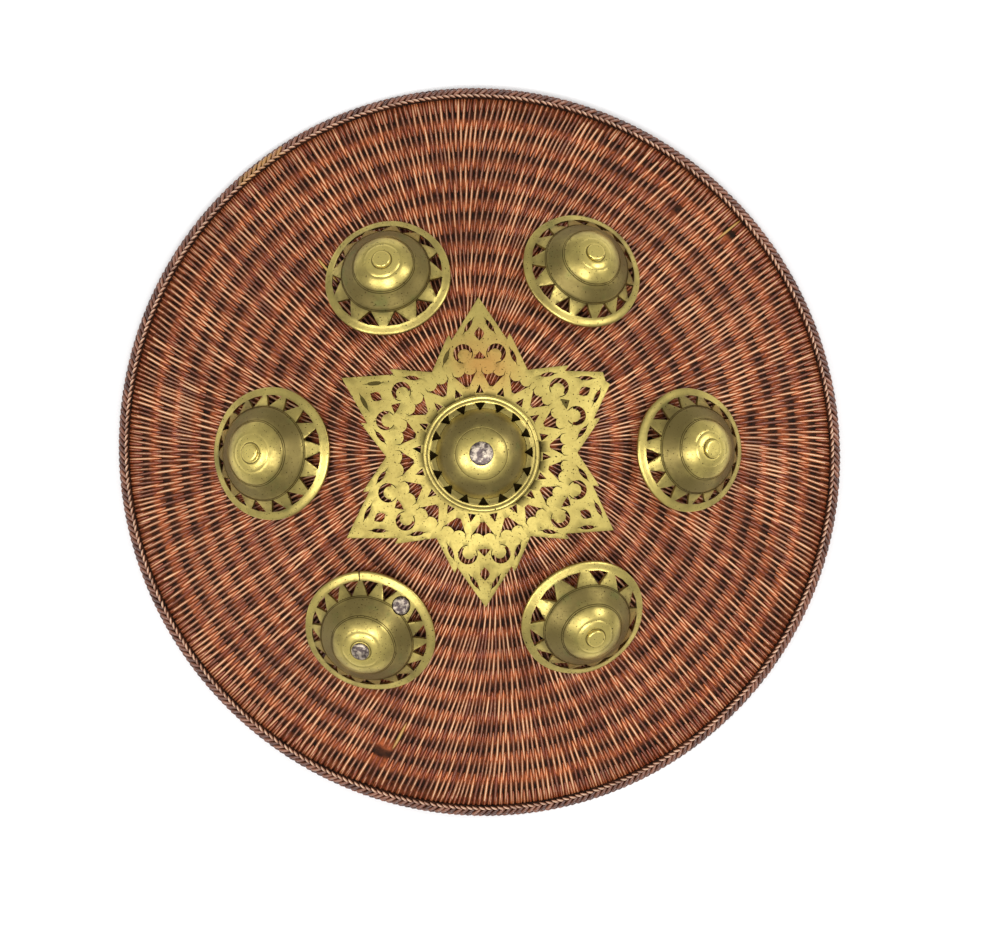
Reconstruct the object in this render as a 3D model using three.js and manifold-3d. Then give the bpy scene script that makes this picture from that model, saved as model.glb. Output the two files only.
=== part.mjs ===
// Round woven buckler: a domed body of coiled cane with a plaited rim, a pierced brass star and
// seven openwork brass bosses. Millimetres, +Z up. The shield lies on its rim with the dome up,
// and the origin is on the surface it lies on, under the middle of the dome.
import * as THREE from "three";
import { mergeVertices } from "three/addons/utils/BufferGeometryUtils.js";
import Module from "manifold-3d";

const wasm = await Module();
wasm.setup();

// ---- Driving dimensions ----

// The domed body. Its face is a cone with a rounded crown: a hyperbola turned about Z. Hand work
// has left it slightly oval: drawn out along one direction by this factor, and in across it.
const EDGE_RADIUS = 197.4;
const EDGE_HEIGHT = 7.1;
const CONE_SLOPE = 0.65;
const CROWN_ROUNDING = 76;
const OVAL = 1.009;
const OVAL_TURN = 120;
const BODY_THICKNESS = 6;
const BODY_RINGS = 6;
const ROUND_STEPS = 48;

// The binding is a channel that wraps the edge. Wear has left a flat ring underneath to lie on.
const BINDING_WALL = 2.5;
const BINDING_REACH = 5;
const BINDING_CORNER = 1.6;

// Touching pieces keep this much air between them, and more where the curved face comes close.
const GAP = 0.3;
const CURVE_GAP = 0.8;
const TAB_GAP = 1.5;

// The star plate follows the dome. Each ray was cut by eye, so each has its own direction and
// reach, and the plate sits a little off the middle. One ray has lost its tip.
const PLATE_THICKNESS = 1.4;
const PLATE_STEPS = 20;
const PLATE_CREASES = [28, 56];
const STAR_OFFSET = new THREE.Vector2(1.9, -1.3);
const NOTCH_RADIUS = 49.6;
const RAYS = [
  { turn: 31.4, reach: 82, brokenAt: 73.5 },
  { turn: 91.3, reach: 82 },
  { turn: 151.6, reach: 83.5 },
  { turn: 211.9, reach: 83.5 },
  { turn: 271.4, reach: 80.2 },
  { turn: 329.9, reach: 79.6 },
];
const BARB_AT = 0.42;
const BARB_DEPTH = 2.8;
const BARB_TIP = 0.04;

// The openings of a ray, from the middle of the star: how far out each one lies, how far across,
// and its size. Slits and crescents come in pairs, one on each side, and lean from the ray.
const DIAMOND = { out: 62.6, half: 3.6, wide: 2.6 };
const TRIANGLE = { foot: 49.6, tip: 53.4, wide: 3.2 };
const TIP_SLIT = { out: 66.8, across: 5.6, lean: -33, length: 8.4, width: 2.2 };
const ROOT_SLIT = { out: 50.6, across: 17.4, lean: -22, length: 8, width: 2.3 };
const CRESCENT = { out: 52.2, across: 8.6, lean: 32, radius: 5.1, width: 2.9 };
const CRESCENT_OUTER = 112;
const CRESCENT_INNER = 98;
const CRESCENT_OFFSET = 0.4;
const CRESCENT_OUTER_STEPS = 5;
const CRESCENT_INNER_STEPS = 3;

// The band of openings round the centre boss is paced by eye, and drifts by a few degrees.
const BAND_OPENINGS = 18;
const BAND_START = 96.5;
const BAND_DRIFT = 4.5;
const BAND_INNER = 35.4;
const BAND_OUTER = 42.6;
const BAND_SHARE = 0.4;
const LOBE_DEPTH = 1.3;

// Profile of an openwork boss, from its ring up to its rivet: radii are shares of the boss's own
// radius, heights are in millimetres. The holes are paced round by eye, and drift by a few degrees.
const BOSS_WALL = 1.3;
const BOSS_STEPS = 18;
const RING_INNER = 0.86;
const PETAL_ROOT = 0.7;
const BOSS_PROFILE = [
  [1, 1.6],
  [RING_INNER, 1.9],
  [PETAL_ROOT, 9.2],
  [0.475, 16.8],
  [0.33, 20.1],
  [0.17, 21.4],
];
const HOLE_SHARE = 0.37;
const HOLE_MARGIN = 0.4;
const HOLE_DEPTH = 10;
const WIDEST_PACE = 230;

// Every boss was hammered on by hand and leans its own way: steep is how far its axis is from the
// vertical, and towards is the way it leans. It rests on the highest part of the face beneath it.
const BOSS_GAP = 0.5;
const BOSSES = [
  {
    name: "upper_left", turn: 117.7, distance: 102.6, steep: 22.1, towards: 105.6,
    radius: 33.3, holes: 12, first: 26.2, drift: 4,
  },
  {
    name: "upper_right", turn: 60.4, distance: 108.5, steep: 27.8, towards: 49.9,
    radius: 32.5, holes: 15, first: 19.3, drift: 5,
  },
  {
    name: "left", turn: 180.5, distance: 109.7, steep: 24.5, towards: 179.3,
    radius: 35.2, holes: 16, first: -8.1, drift: 3,
  },
  {
    name: "right", turn: 0.4, distance: 110, steep: 28.5, towards: 2.8,
    radius: 32.7, holes: 16, first: 1.1, drift: 5,
  },
  {
    name: "lower_left", turn: 238.8, distance: 110.1, steep: 26.2, towards: 246.7,
    radius: 35.2, holes: 18, first: -1.6, drift: 0,
  },
  {
    name: "lower_right", turn: 302, distance: 100.6, steep: 30.4, towards: 303.8,
    radius: 33.5, holes: 13, first: 25, drift: 5.5,
  },
];

// The centre boss stands on the star plate.
const CENTRE_RADIUS = 30.2;
const CENTRE_STEPS = 20;
const CENTRE_HOLES = { holes: 16, first: 2, drift: 0 };
const CENTRE_RING_INNER = 0.87;
const CENTRE_PETAL_ROOT = 0.78;
const CENTRE_HOLE_BASE = 0.88;
const CENTRE_HOLE_TIP = 0.73;
const CENTRE_HOLE_SHARE = 0.27;
const CENTRE_PROFILE = [
  [1, 2.4],
  [CENTRE_RING_INNER, 2.8],
  [CENTRE_PETAL_ROOT, 4.6],
  [0.66, 10.2],
  [0.46, 15],
  [0.21, 17.4],
];

// Rivets, and the washers that they are clenched over behind the body.
const SHANK_RADIUS = 2;
const BORE_RADIUS = SHANK_RADIUS + GAP;
const HEAD_RADIUS = 5;
const CENTRE_HEAD_RADIUS = 6.2;
const HEAD_HEIGHT = 1.9;
const HEAD_TAPER = 0.85;
const TAIL_RADIUS = 3.4;
const TAIL_HEIGHT = 1.6;
const TAIL_TAPER = 0.7;
const ROVE_RADIUS = 7;
const ROVE_THICKNESS = 1.2;
const RIVET_STEPS = 8;

// Two cane-bound grips on the back. Each hangs between two rivets, by a flat tab at each end.
const GRIP_PAIRS = [
  ["left", "upper_left", "lower_left"],
  ["right", "upper_right", "lower_right"],
];
const GRIP_RADIUS = 5.5;
const GRIP_DROP = 15;
// Points on the way from tab to tab: each is a share of the way, and a share of the full drop.
const GRIP_ROUTE = [[0.14, 0.62], [0.34, 1], [0.66, 1], [0.86, 0.62]];
const GRIP_STEPS = 9;
const GRIP_SIDES = 8;
const TAB_RADIUS = 8.5;
const TAB_NECK = 13;
const TAB_NECK_RADIUS = 5;
const TAB_THICKNESS = 4;
const TAB_ARC_STEPS = 4;

// A repair on the lower left boss: a plug fills one hole. Its ring is also cracked through.
const MENDED = "lower_left";
const PLUG_RADIUS = 4.8;
const PLUG_HEIGHT = 3.4;
const PLUG_HOLE = 8;
const PLUG_AT = 0.775;
const CRACK_TURN = 209;
const CRACK_WIDTH = 0.8;

// ---- Materials ----

const cane = new THREE.MeshStandardMaterial({ color: 0x8f4a2c, roughness: 0.55, metalness: 0 });
const plaitedCane = new THREE.MeshStandardMaterial({ color: 0x6a3a34, roughness: 0.6, metalness: 0 });
const starBrass = new THREE.MeshStandardMaterial({ color: 0xd2c164, roughness: 0.35, metalness: 1 });
const bossBrass = new THREE.MeshStandardMaterial({ color: 0xb9ab55, roughness: 0.35, metalness: 1 });
const whiteMetal = new THREE.MeshStandardMaterial({ color: 0xa8a6ad, roughness: 0.4, metalness: 1 });

// ---- Small tools ----

const radians = THREE.MathUtils.degToRad;
const ORIGIN = new THREE.Vector2();

function polar(turnDegrees, distance) {
  return new THREE.Vector2(distance, 0).rotateAround(ORIGIN, radians(turnDegrees));
}

// Points on an arc round a middle, from one direction to another.
function arc(middle, radius, fromDegrees, toDegrees, steps) {
  return Array.from({ length: steps + 1 }, (_, i) =>
    polar(fromDegrees + ((toDegrees - fromDegrees) * i) / steps, radius).add(middle),
  );
}

function lathe(profile, steps) {
  const points = profile.map(([radius, height]) => new THREE.Vector2(radius, height));
  return new THREE.LatheGeometry(points, steps).rotateX(Math.PI / 2);
}

function rod(radius, low, high, steps) {
  return lathe([[0, low], [radius, low], [radius, high], [0, high]], steps);
}

function prism(outlines, low, high) {
  const shapes = outlines.map((points) => new THREE.Shape(points));
  const depth = high - low;
  return new THREE.ExtrudeGeometry(shapes, { depth, bevelEnabled: false }).translate(0, 0, low);
}

function solidOf(geometry) {
  const bare = geometry.clone();
  bare.deleteAttribute("normal");
  bare.deleteAttribute("uv");
  const merged = mergeVertices(bare, 1e-4);
  return new wasm.Manifold(
    new wasm.Mesh({
      numProp: 3,
      vertProperties: merged.attributes.position.array,
      triVerts: new Uint32Array(merged.index.array),
    }),
  );
}

function geometryOf(solid) {
  const { vertProperties, triVerts } = solid.getMesh();
  const geometry = new THREE.BufferGeometry();
  geometry.setAttribute("position", new THREE.BufferAttribute(vertProperties, 3));
  geometry.setIndex(new THREE.BufferAttribute(triVerts, 1));
  geometry.computeVertexNormals();
  return geometry;
}

function named(name, geometry, material) {
  const mesh = new THREE.Mesh(geometry, material);
  mesh.name = name;
  return mesh;
}

// ---- The dome ----

function faceDrop(radius) {
  return Math.hypot(CROWN_ROUNDING, CONE_SLOPE * radius) - CROWN_ROUNDING;
}

function faceHeight(radius) {
  return EDGE_HEIGHT + faceDrop(EDGE_RADIUS) - faceDrop(radius);
}

function faceSlope(radius) {
  return Math.atan((CONE_SLOPE ** 2 * radius) / (faceDrop(radius) + CROWN_ROUNDING));
}

// The radius and height of a point at some distance out from the face, or in when negative.
function offFace(radius, out) {
  const slope = faceSlope(radius);
  return [radius + out * Math.sin(slope), faceHeight(radius) + out * Math.cos(slope)];
}

// Makes a turned shape as oval as the body.
function oval(geometry) {
  const turn = radians(OVAL_TURN);
  return geometry.rotateZ(-turn).scale(OVAL, 1 / OVAL, 1).rotateZ(turn);
}

// The height of the oval face at a place.
function faceAt({ x, y }) {
  const place = new THREE.Vector2(x, y).rotateAround(ORIGIN, -radians(OVAL_TURN));
  return faceHeight(Math.hypot(place.x / OVAL, place.y * OVAL));
}

// A place on the face where a boss stands. Its own +Z is the axis of the boss, and its own +X
// points the way that the boss leans.
function seat({ turn, distance, steep, towards }, lift = 0) {
  const place = new THREE.Group();
  const { x, y } = polar(turn, distance);
  place.position.set(x, y, faceAt({ x, y }));
  place.rotation.set(0, radians(steep), radians(towards), "ZYX");
  place.translateZ(lift);
  place.updateMatrixWorld();
  return place;
}

// How far a boss must stand up from its seat, for its ring to clear the face all the way round.
function riseOf(boss) {
  const place = seat(boss);
  const gaps = arc(ORIGIN, boss.radius, 0, 360, ROUND_STEPS).map(({ x, y }) => {
    const rim = place.localToWorld(new THREE.Vector3(x, y, 0));
    return rim.z - faceAt(rim);
  });
  return BOSS_GAP - Math.min(...gaps);
}

// How far down a leaning rivet a flat piece must lie, to clear the back of the body out to its reach.
function depthBehind(boss, reach) {
  const steep = THREE.MathUtils.radToDeg(faceSlope(boss.distance));
  const [leaning, square] = [boss, { ...boss, steep, towards: boss.turn }].map((stance) =>
    seat(stance).getWorldDirection(new THREE.Vector3()),
  );
  const off = leaning.angleTo(square);
  return BODY_THICKNESS / Math.cos(off) + reach * Math.tan(off);
}

// The same for the middle of the star, which is near enough to the crown to stand level.
function centreSeat() {
  const place = new THREE.Group();
  place.position.set(STAR_OFFSET.x, STAR_OFFSET.y, faceHeight(0));
  place.updateMatrixWorld();
  return place;
}

// ---- Woven body and its binding ----

function wovenBody() {
  const radii = Array.from({ length: BODY_RINGS + 1 }, (_, i) => (EDGE_RADIUS * i) / BODY_RINGS);
  const face = radii.map((radius) => offFace(radius, 0)).reverse();
  const back = radii.map((radius) => offFace(radius, -BODY_THICKNESS));
  const bore = rod(BORE_RADIUS, -2 * BODY_THICKNESS, BODY_THICKNESS, RIVET_STEPS);
  const places = [...BOSSES.map((boss) => seat(boss)), centreSeat()];
  const body = places.reduce(
    (pierced, place) => pierced.subtract(solidOf(bore.clone().applyMatrix4(place.matrixWorld))),
    solidOf(oval(lathe([...back, ...face], ROUND_STEPS))),
  );
  return named("woven_body", geometryOf(body), cane);
}

// The section of the channel, in steps along the slope and out from the face at the body's edge.
function bindingSection() {
  const low = -BODY_THICKNESS - BINDING_WALL;
  const start = [-BINDING_REACH, GAP];
  return [
    start,
    [GAP, GAP],
    [GAP, -BODY_THICKNESS - GAP],
    [-BINDING_REACH, -BODY_THICKNESS - GAP],
    [-BINDING_REACH, low],
    [BINDING_WALL - BINDING_CORNER, low],
    [BINDING_WALL, low + BINDING_CORNER],
    [BINDING_WALL, BINDING_WALL - BINDING_CORNER],
    [BINDING_WALL - BINDING_CORNER, BINDING_WALL],
    [-BINDING_REACH, BINDING_WALL],
    start,
  ];
}

function rimBinding() {
  const slope = faceSlope(EDGE_RADIUS);
  const ring = bindingSection().map(([along, out]) => [
    EDGE_RADIUS + along * Math.cos(slope) + out * Math.sin(slope),
    Math.max(0, EDGE_HEIGHT - along * Math.sin(slope) + out * Math.cos(slope)),
  ]);
  return named("rim_binding", oval(lathe(ring, ROUND_STEPS)), plaitedCane);
}

// ---- Star plate ----

// From a notch towards the tip of a ray: a saw-tooth barb breaks the edge part way along.
function raySide(notch, tip, sideways) {
  const along = tip.clone().sub(notch);
  const across = new THREE.Vector2(-along.y, along.x).normalize().multiplyScalar(sideways);
  const at = (share, out) =>
    notch.clone().addScaledVector(along, share).addScaledVector(across, out);
  return [notch, at(BARB_AT, BARB_DEPTH), at(BARB_AT + BARB_TIP, BARB_DEPTH), at(BARB_AT, 0)];
}

function rayOutline({ turn, reach, brokenAt = reach }, before, after) {
  const tip = polar(turn, reach);
  const [first, second] = [before, after].map((next) => polar((turn + next) / 2, NOTCH_RADIUS));
  const up = raySide(first, tip, -1);
  const down = raySide(second, tip, 1).slice(1).reverse();
  if (brokenAt === reach) return [...up, tip, ...down];
  const left = (brokenAt - NOTCH_RADIUS / 2) / (reach - NOTCH_RADIUS / 2);
  return [...up, first.clone().lerp(tip, left), second.clone().lerp(tip, left), ...down];
}

function starOutline() {
  const turns = RAYS.map(({ turn }) => turn);
  const around = [turns.at(-1) - 360, ...turns, turns[0] + 360];
  return RAYS.flatMap((ray, i) => rayOutline(ray, around[i], around[i + 2]));
}

// A leaf-shaped slit round a middle, pointed at both ends.
function leaf(middle, turnDegrees, length, width) {
  const shares = [[0.5, 0], [0, 0.5], [-0.5, 0], [0, -0.5]];
  return shares.map(([along, across]) =>
    new THREE.Vector2(along * length, across * width)
      .rotateAround(ORIGIN, radians(turnDegrees))
      .add(middle),
  );
}

// A crescent that curls round a lobe: the middles of its two arcs are apart, so that it thins out.
function crescent(middle, turnDegrees, radius, width) {
  const lobe = polar(turnDegrees, -width * CRESCENT_OFFSET).add(middle);
  const inner = radius - width * (1 - CRESCENT_OFFSET);
  const outerEnds = [turnDegrees - CRESCENT_OUTER, turnDegrees + CRESCENT_OUTER];
  const innerEnds = [turnDegrees + CRESCENT_INNER, turnDegrees - CRESCENT_INNER];
  return [
    ...arc(middle, radius, ...outerEnds, CRESCENT_OUTER_STEPS),
    ...arc(lobe, inner, ...innerEnds, CRESCENT_INNER_STEPS),
  ];
}

// The openings of one ray, placed in steps out along the ray and across it.
function rayOpenings({ turn }) {
  const at = (out, across) => new THREE.Vector2(out, across).rotateAround(ORIGIN, radians(turn));
  const placed = ({ out, across, lean }, side) => [at(out, across * side), turn + lean * side];
  const { out, half, wide } = DIAMOND;
  const diamond = [at(out + half, 0), at(out, wide), at(out - half, 0), at(out, -wide)];
  const corners = [1, -1].map((side) => at(TRIANGLE.foot, TRIANGLE.wide * side));
  const pairs = [1, -1].flatMap((side) => [
    ...[TIP_SLIT, ROOT_SLIT].map((slit) => leaf(...placed(slit, side), slit.length, slit.width)),
    crescent(...placed(CRESCENT, side), CRESCENT.radius, CRESCENT.width),
  ]);
  return [diamond, [at(TRIANGLE.tip, 0), ...corners], ...pairs];
}

function bandTurn(step) {
  const even = (360 * step) / BAND_OPENINGS;
  return BAND_START - even - BAND_DRIFT * Math.cos(radians(even));
}

// An opening in the band round the boss: two lobes on its outer side, a point on its inner side.
function bandOpening(step) {
  const half = BAND_SHARE * (bandTurn(step - 0.5) - bandTurn(step + 0.5));
  const at = (share, distance) => polar(bandTurn(step) + share * half, distance);
  const lobe = BAND_OUTER - LOBE_DEPTH;
  return [
    at(-1, BAND_OUTER),
    at(0, BAND_INNER),
    at(1, BAND_OUTER),
    at(0.5, lobe),
    at(0, BAND_OUTER),
    at(-0.5, lobe),
  ];
}

function starPlate() {
  const beyond = Math.max(...RAYS.map(({ reach }) => reach)) + STAR_OFFSET.length() + 1;
  const radii = [BORE_RADIUS, ...PLATE_CREASES, beyond];
  const under = radii.map((radius) => offFace(radius, CURVE_GAP));
  const over = radii.map((radius) => offFace(radius, CURVE_GAP + PLATE_THICKNESS)).reverse();
  const sheet = solidOf(oval(lathe([...under, ...over, under[0]], PLATE_STEPS)));
  const band = Array.from({ length: BAND_OPENINGS }, (_, i) => bandOpening(i + 0.5));
  const above = 2 * faceHeight(0);
  const bore = arc(ORIGIN, BORE_RADIUS, 0, 360, RIVET_STEPS).slice(1);
  const [outline, openings] = [[starOutline()], [bore, ...band, ...RAYS.flatMap(rayOpenings)]].map(
    (outlines) => solidOf(prism(outlines, 0, above).translate(STAR_OFFSET.x, STAR_OFFSET.y, 0)),
  );
  return named("star_plate", geometryOf(sheet.intersect(outline).subtract(openings)), starBrass);
}

// ---- Bosses ----

// A thin casting, open underneath, with a bore for its rivet at the top.
function bossShell(profile, radius, steps) {
  const over = profile.map(([share, height]) => [share * radius, height]);
  const [, top] = over.at(-1);
  const ringEdge = [over[1][0], 0];
  const dome = over.slice(2, -1).map(([r, height]) => [r - BOSS_WALL, height - BOSS_WALL]);
  const under = [ringEdge, ...dome];
  const edge = [radius, 0];
  const bore = [[BORE_RADIUS, top], [BORE_RADIUS, top - BOSS_WALL]];
  return solidOf(lathe([edge, ...over, ...bore, ...under.reverse(), edge], steps));
}

// Directions of the holes of a boss, counted from the way down the slope.
function holeTurns({ holes, first, drift }) {
  return Array.from({ length: holes }, (_, i) => {
    const even = first + (360 * i) / holes;
    return even + drift * Math.cos(radians(even - WIDEST_PACE));
  });
}

// A triangular hole with its base on the ring and its point up the dome.
function petalHole(turn, half, base, tip) {
  const outline = [polar(turn - half, base), polar(turn + half, base), polar(turn, tip)];
  return solidOf(prism([outline], -1, HOLE_DEPTH));
}

function pierced(shell, boss, share, base, tip, skipped) {
  const half = (360 / boss.holes) * share;
  return holeTurns(boss)
    .filter((_, i) => i !== skipped)
    .reduce((left, turn) => left.subtract(petalHole(turn, half, base, tip)), shell);
}

function plugPlace(boss) {
  return polar(holeTurns(boss)[PLUG_HOLE], PLUG_AT * boss.radius);
}

function openworkBoss(boss) {
  const { name, radius } = boss;
  const mended = name === MENDED;
  const shell = bossShell(BOSS_PROFILE, radius, BOSS_STEPS);
  const skipped = mended ? PLUG_HOLE : -1;
  const base = RING_INNER * radius - HOLE_MARGIN;
  const tip = PETAL_ROOT * radius + HOLE_MARGIN;
  let casting = pierced(shell, boss, HOLE_SHARE, base, tip, skipped);
  if (mended) {
    const { x, y } = plugPlace(boss);
    const hole = rod(PLUG_RADIUS + GAP, -1, HOLE_DEPTH, RIVET_STEPS).translate(x, y, 0);
    const long = radius * (1 - RING_INNER) + 1;
    const crack = new THREE.BoxGeometry(long, CRACK_WIDTH, HOLE_DEPTH);
    crack.translate(radius - long / 2 + 1, 0, 0).rotateZ(radians(CRACK_TURN));
    casting = casting.subtract(solidOf(hole)).subtract(solidOf(crack));
  }
  return named("boss_" + name, geometryOf(casting), bossBrass);
}

function centreBoss() {
  const shell = bossShell(CENTRE_PROFILE, CENTRE_RADIUS, CENTRE_STEPS);
  const [base, tip] = [CENTRE_HOLE_BASE, CENTRE_HOLE_TIP].map((share) => share * CENTRE_RADIUS);
  const casting = pierced(shell, CENTRE_HOLES, CENTRE_HOLE_SHARE, base, tip);
  return named("centre_boss", geometryOf(casting), bossBrass);
}

// ---- Rivets, washers and the plug ----

// The head sits on the boss, and the tail is spread over the washer behind the body.
function rivet(name, headBase, headRadius, tailBase, material) {
  const profile = [
    [0, tailBase - TAIL_HEIGHT],
    [TAIL_RADIUS * TAIL_TAPER, tailBase - TAIL_HEIGHT],
    [TAIL_RADIUS, tailBase],
    [SHANK_RADIUS, tailBase],
    [SHANK_RADIUS, headBase],
    [headRadius, headBase],
    [headRadius * HEAD_TAPER, headBase + HEAD_HEIGHT],
    [0, headBase + HEAD_HEIGHT],
  ];
  return named(name, lathe(profile, RIVET_STEPS), material);
}

function rove(name, top) {
  const low = top - ROVE_THICKNESS;
  const start = [BORE_RADIUS, low];
  const section = [start, [ROVE_RADIUS, low], [ROVE_RADIUS, top], [BORE_RADIUS, top], start];
  return named(name, lathe(section, RIVET_STEPS), bossBrass);
}

// The height of a washer's upper side. A grip's tab lies between it and the body on four rivets.
function roveTop(boss) {
  const holdsGrip = GRIP_PAIRS.flat().includes(boss.name);
  return holdsGrip ? tabTop(boss) - TAB_THICKNESS - GAP : -depthBehind(boss, ROVE_RADIUS) - CURVE_GAP;
}

// The height of a tab's upper side.
function tabTop(boss) {
  return -depthBehind(boss, TAB_NECK + TAB_NECK_RADIUS) - TAB_GAP;
}

function repairPlug(boss, rise) {
  const { x, y } = plugPlace(boss);
  const plug = rod(PLUG_RADIUS, GAP, PLUG_HEIGHT, RIVET_STEPS).translate(x, y, rise);
  return named("repair_plug", plug, whiteMetal);
}

function bossAssembly(boss) {
  const { name } = boss;
  const place = seat(boss);
  const casting = openworkBoss(boss);
  const rise = riseOf(boss);
  casting.position.z = rise;
  const [, top] = BOSS_PROFILE.at(-1);
  const washerTop = roveTop(boss);
  const tailBase = washerTop - ROVE_THICKNESS - GAP;
  const metal = name === MENDED ? whiteMetal : bossBrass;
  place.add(
    casting,
    rivet("rivet_" + name, top + rise + GAP, HEAD_RADIUS, tailBase, metal),
    rove("rove_" + name, washerTop),
  );
  if (name === MENDED) place.add(repairPlug(boss, rise));
  return place;
}

function centreAssembly() {
  const place = centreSeat();
  const casting = centreBoss();
  casting.position.z = CURVE_GAP + PLATE_THICKNESS + GAP;
  const [, top] = CENTRE_PROFILE.at(-1);
  const headBase = casting.position.z + top + GAP;
  const washerTop = -BODY_THICKNESS - CURVE_GAP;
  const tailBase = washerTop - ROVE_THICKNESS - GAP;
  place.add(
    casting,
    rivet("centre_rivet", headBase, CENTRE_HEAD_RADIUS, tailBase, whiteMetal),
    rove("centre_rove", washerTop),
  );
  return place;
}

// ---- Grips ----

// A flat tab under the washer, with a neck that reaches towards the other end of the grip.
function gripEnd(place, other) {
  const { x, y } = place.worldToLocal(other.position.clone());
  const turn = THREE.MathUtils.radToDeg(Math.atan2(y, x));
  const neck = polar(turn, TAB_NECK);
  const outline = [
    ...arc(ORIGIN, TAB_RADIUS, turn + 90, turn + 270, TAB_ARC_STEPS),
    ...arc(neck, TAB_NECK_RADIUS, turn - 90, turn + 90, TAB_ARC_STEPS),
  ];
  const half = TAB_THICKNESS / 2;
  const tab = solidOf(prism([outline], -half, half));
  const bored = tab.subtract(solidOf(rod(BORE_RADIUS, -TAB_THICKNESS, TAB_THICKNESS, RIVET_STEPS)));
  const start = polar(turn, TAB_NECK - 1);
  return {
    tab: solidOf(geometryOf(bored).applyMatrix4(place.matrixWorld)),
    start: place.localToWorld(new THREE.Vector3(start.x, start.y, half - GRIP_RADIUS)),
  };
}

function grip([name, ...bossNames]) {
  const [upper, lower] = bossNames.map((wanted) => {
    const boss = BOSSES.find((candidate) => candidate.name === wanted);
    return seat(boss, tabTop(boss) - TAB_THICKNESS / 2);
  });
  const top = gripEnd(upper, lower);
  const bottom = gripEnd(lower, upper);
  const hanging = GRIP_ROUTE.map(([share, drop]) =>
    top.start.clone().lerp(bottom.start, share).add(new THREE.Vector3(0, 0, -GRIP_DROP * drop)),
  );
  const route = new THREE.CatmullRomCurve3([top.start, ...hanging, bottom.start]);
  const section = new THREE.Shape(arc(ORIGIN, GRIP_RADIUS, 0, 360, GRIP_SIDES).slice(1));
  const loop = new THREE.ExtrudeGeometry(section, { steps: GRIP_STEPS, extrudePath: route });
  return named("grip_" + name, geometryOf(solidOf(loop).add(top.tab).add(bottom.tab)), plaitedCane);
}

// ---- The shield ----

const shield = new THREE.Group();
shield.add(wovenBody(), rimBinding(), starPlate(), centreAssembly());
shield.add(...BOSSES.map(bossAssembly), ...GRIP_PAIRS.map(grip));

export default shield;
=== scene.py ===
# %% [markdown]
# A round cane buckler. The body is a coil of cane sewn over with split strands, its edge is bound
# with a plait, and the face carries a pierced brass star and seven openwork bosses. The packed
# solids give every size and place here. The lesson replaces the plain solids one by one with
# finished pieces, each modelled where it sits on the shield.

# %% Load the frame
import math

import bpy
import numpy as np
from mathutils import Matrix, Vector


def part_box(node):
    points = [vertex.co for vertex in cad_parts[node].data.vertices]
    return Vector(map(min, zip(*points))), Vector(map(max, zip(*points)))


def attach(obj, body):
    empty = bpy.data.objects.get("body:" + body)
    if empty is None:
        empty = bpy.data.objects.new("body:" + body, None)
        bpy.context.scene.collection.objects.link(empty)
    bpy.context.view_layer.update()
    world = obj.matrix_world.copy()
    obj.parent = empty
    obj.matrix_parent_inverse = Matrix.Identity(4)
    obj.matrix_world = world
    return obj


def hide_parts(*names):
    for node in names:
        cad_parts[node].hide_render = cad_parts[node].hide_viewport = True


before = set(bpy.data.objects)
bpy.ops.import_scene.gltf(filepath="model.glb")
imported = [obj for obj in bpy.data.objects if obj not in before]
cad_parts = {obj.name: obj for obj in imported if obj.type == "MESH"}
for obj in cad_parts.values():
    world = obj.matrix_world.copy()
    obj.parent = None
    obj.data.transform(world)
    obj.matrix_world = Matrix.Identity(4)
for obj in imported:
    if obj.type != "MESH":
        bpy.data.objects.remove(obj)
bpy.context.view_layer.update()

MM = 0.001

# %% [markdown]
# The face is a cone with a rounded crown, which a hyperbola turned about Z gives. Everything on
# the shield is placed by its distance from the axis, its direction round the axis, and how far it
# stands off the face. Two small functions turn those into a point, for one place or for thousands
# at once. The real body is a little oval, so every turned piece is drawn out at the end along one
# direction, and in across it.

# %% The shape of the face
EDGE_RADIUS = 197.4
CONE_SLOPE = 0.65
CROWN_ROUNDING = 76
BODY_THICKNESS = 6
CROWN_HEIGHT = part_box("woven_body")[1].z / MM
OVAL = 1.009


def rotation(degrees, axis="Z"):
    return Matrix.Rotation(math.radians(degrees), 4, axis)


OVAL_TURN = rotation(120)
MAKE_OVAL = OVAL_TURN @ Matrix.Diagonal((OVAL, 1 / OVAL, 1, 1)) @ OVAL_TURN.inverted()


def face_height(radius):
    return CROWN_HEIGHT + CROWN_ROUNDING - np.hypot(CROWN_ROUNDING, CONE_SLOPE * radius)


def face_slope(radius):
    return np.arctan(CONE_SLOPE**2 * radius / np.hypot(CROWN_ROUNDING, CONE_SLOPE * radius))


def round_axis(radius, turn, height):
    return np.stack([radius * np.cos(turn), radius * np.sin(turn), height], axis=-1)


def off_face(radius, turn, out):
    """Points at a distance out from the face, as columns of x, y and z in millimetres."""
    slope = face_slope(radius)
    return round_axis(radius + out * np.sin(slope), turn, face_height(radius) + out * np.cos(slope))


def face_at(place):
    """The height of the oval face under or over a place in millimetres."""
    return face_height((MAKE_OVAL.inverted() @ Vector((place.x, place.y, 0))).length)


def seat(turn, distance, steep, towards):
    """A frame on the face, in metres. Its +Z leans from the vertical, its +X points the way it leans."""
    spot = rotation(turn) @ Vector((distance, 0, 0))
    spot.z = face_at(spot)
    return Matrix.Translation(spot * MM) @ rotation(towards) @ rotation(steep, "Y")


print("height of the crown in mm:", round(CROWN_HEIGHT, 2))

# %% [markdown]
# Every piece is made the same way: a primitive, shaped in edit mode, cut by others where it is
# pierced, and then given its name, its finish and its place in the frame. These helpers hold those
# habits, so that the cells below only describe the pieces.

# %% Habits of the bench
MERGE_DISTANCE = 0.002


def deselect():
    bpy.ops.object.select_all(action="DESELECT")


def only(piece):
    """Makes a piece the one that is selected and active."""
    deselect()
    piece.select_set(True)
    bpy.context.view_layer.objects.active = piece


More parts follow.
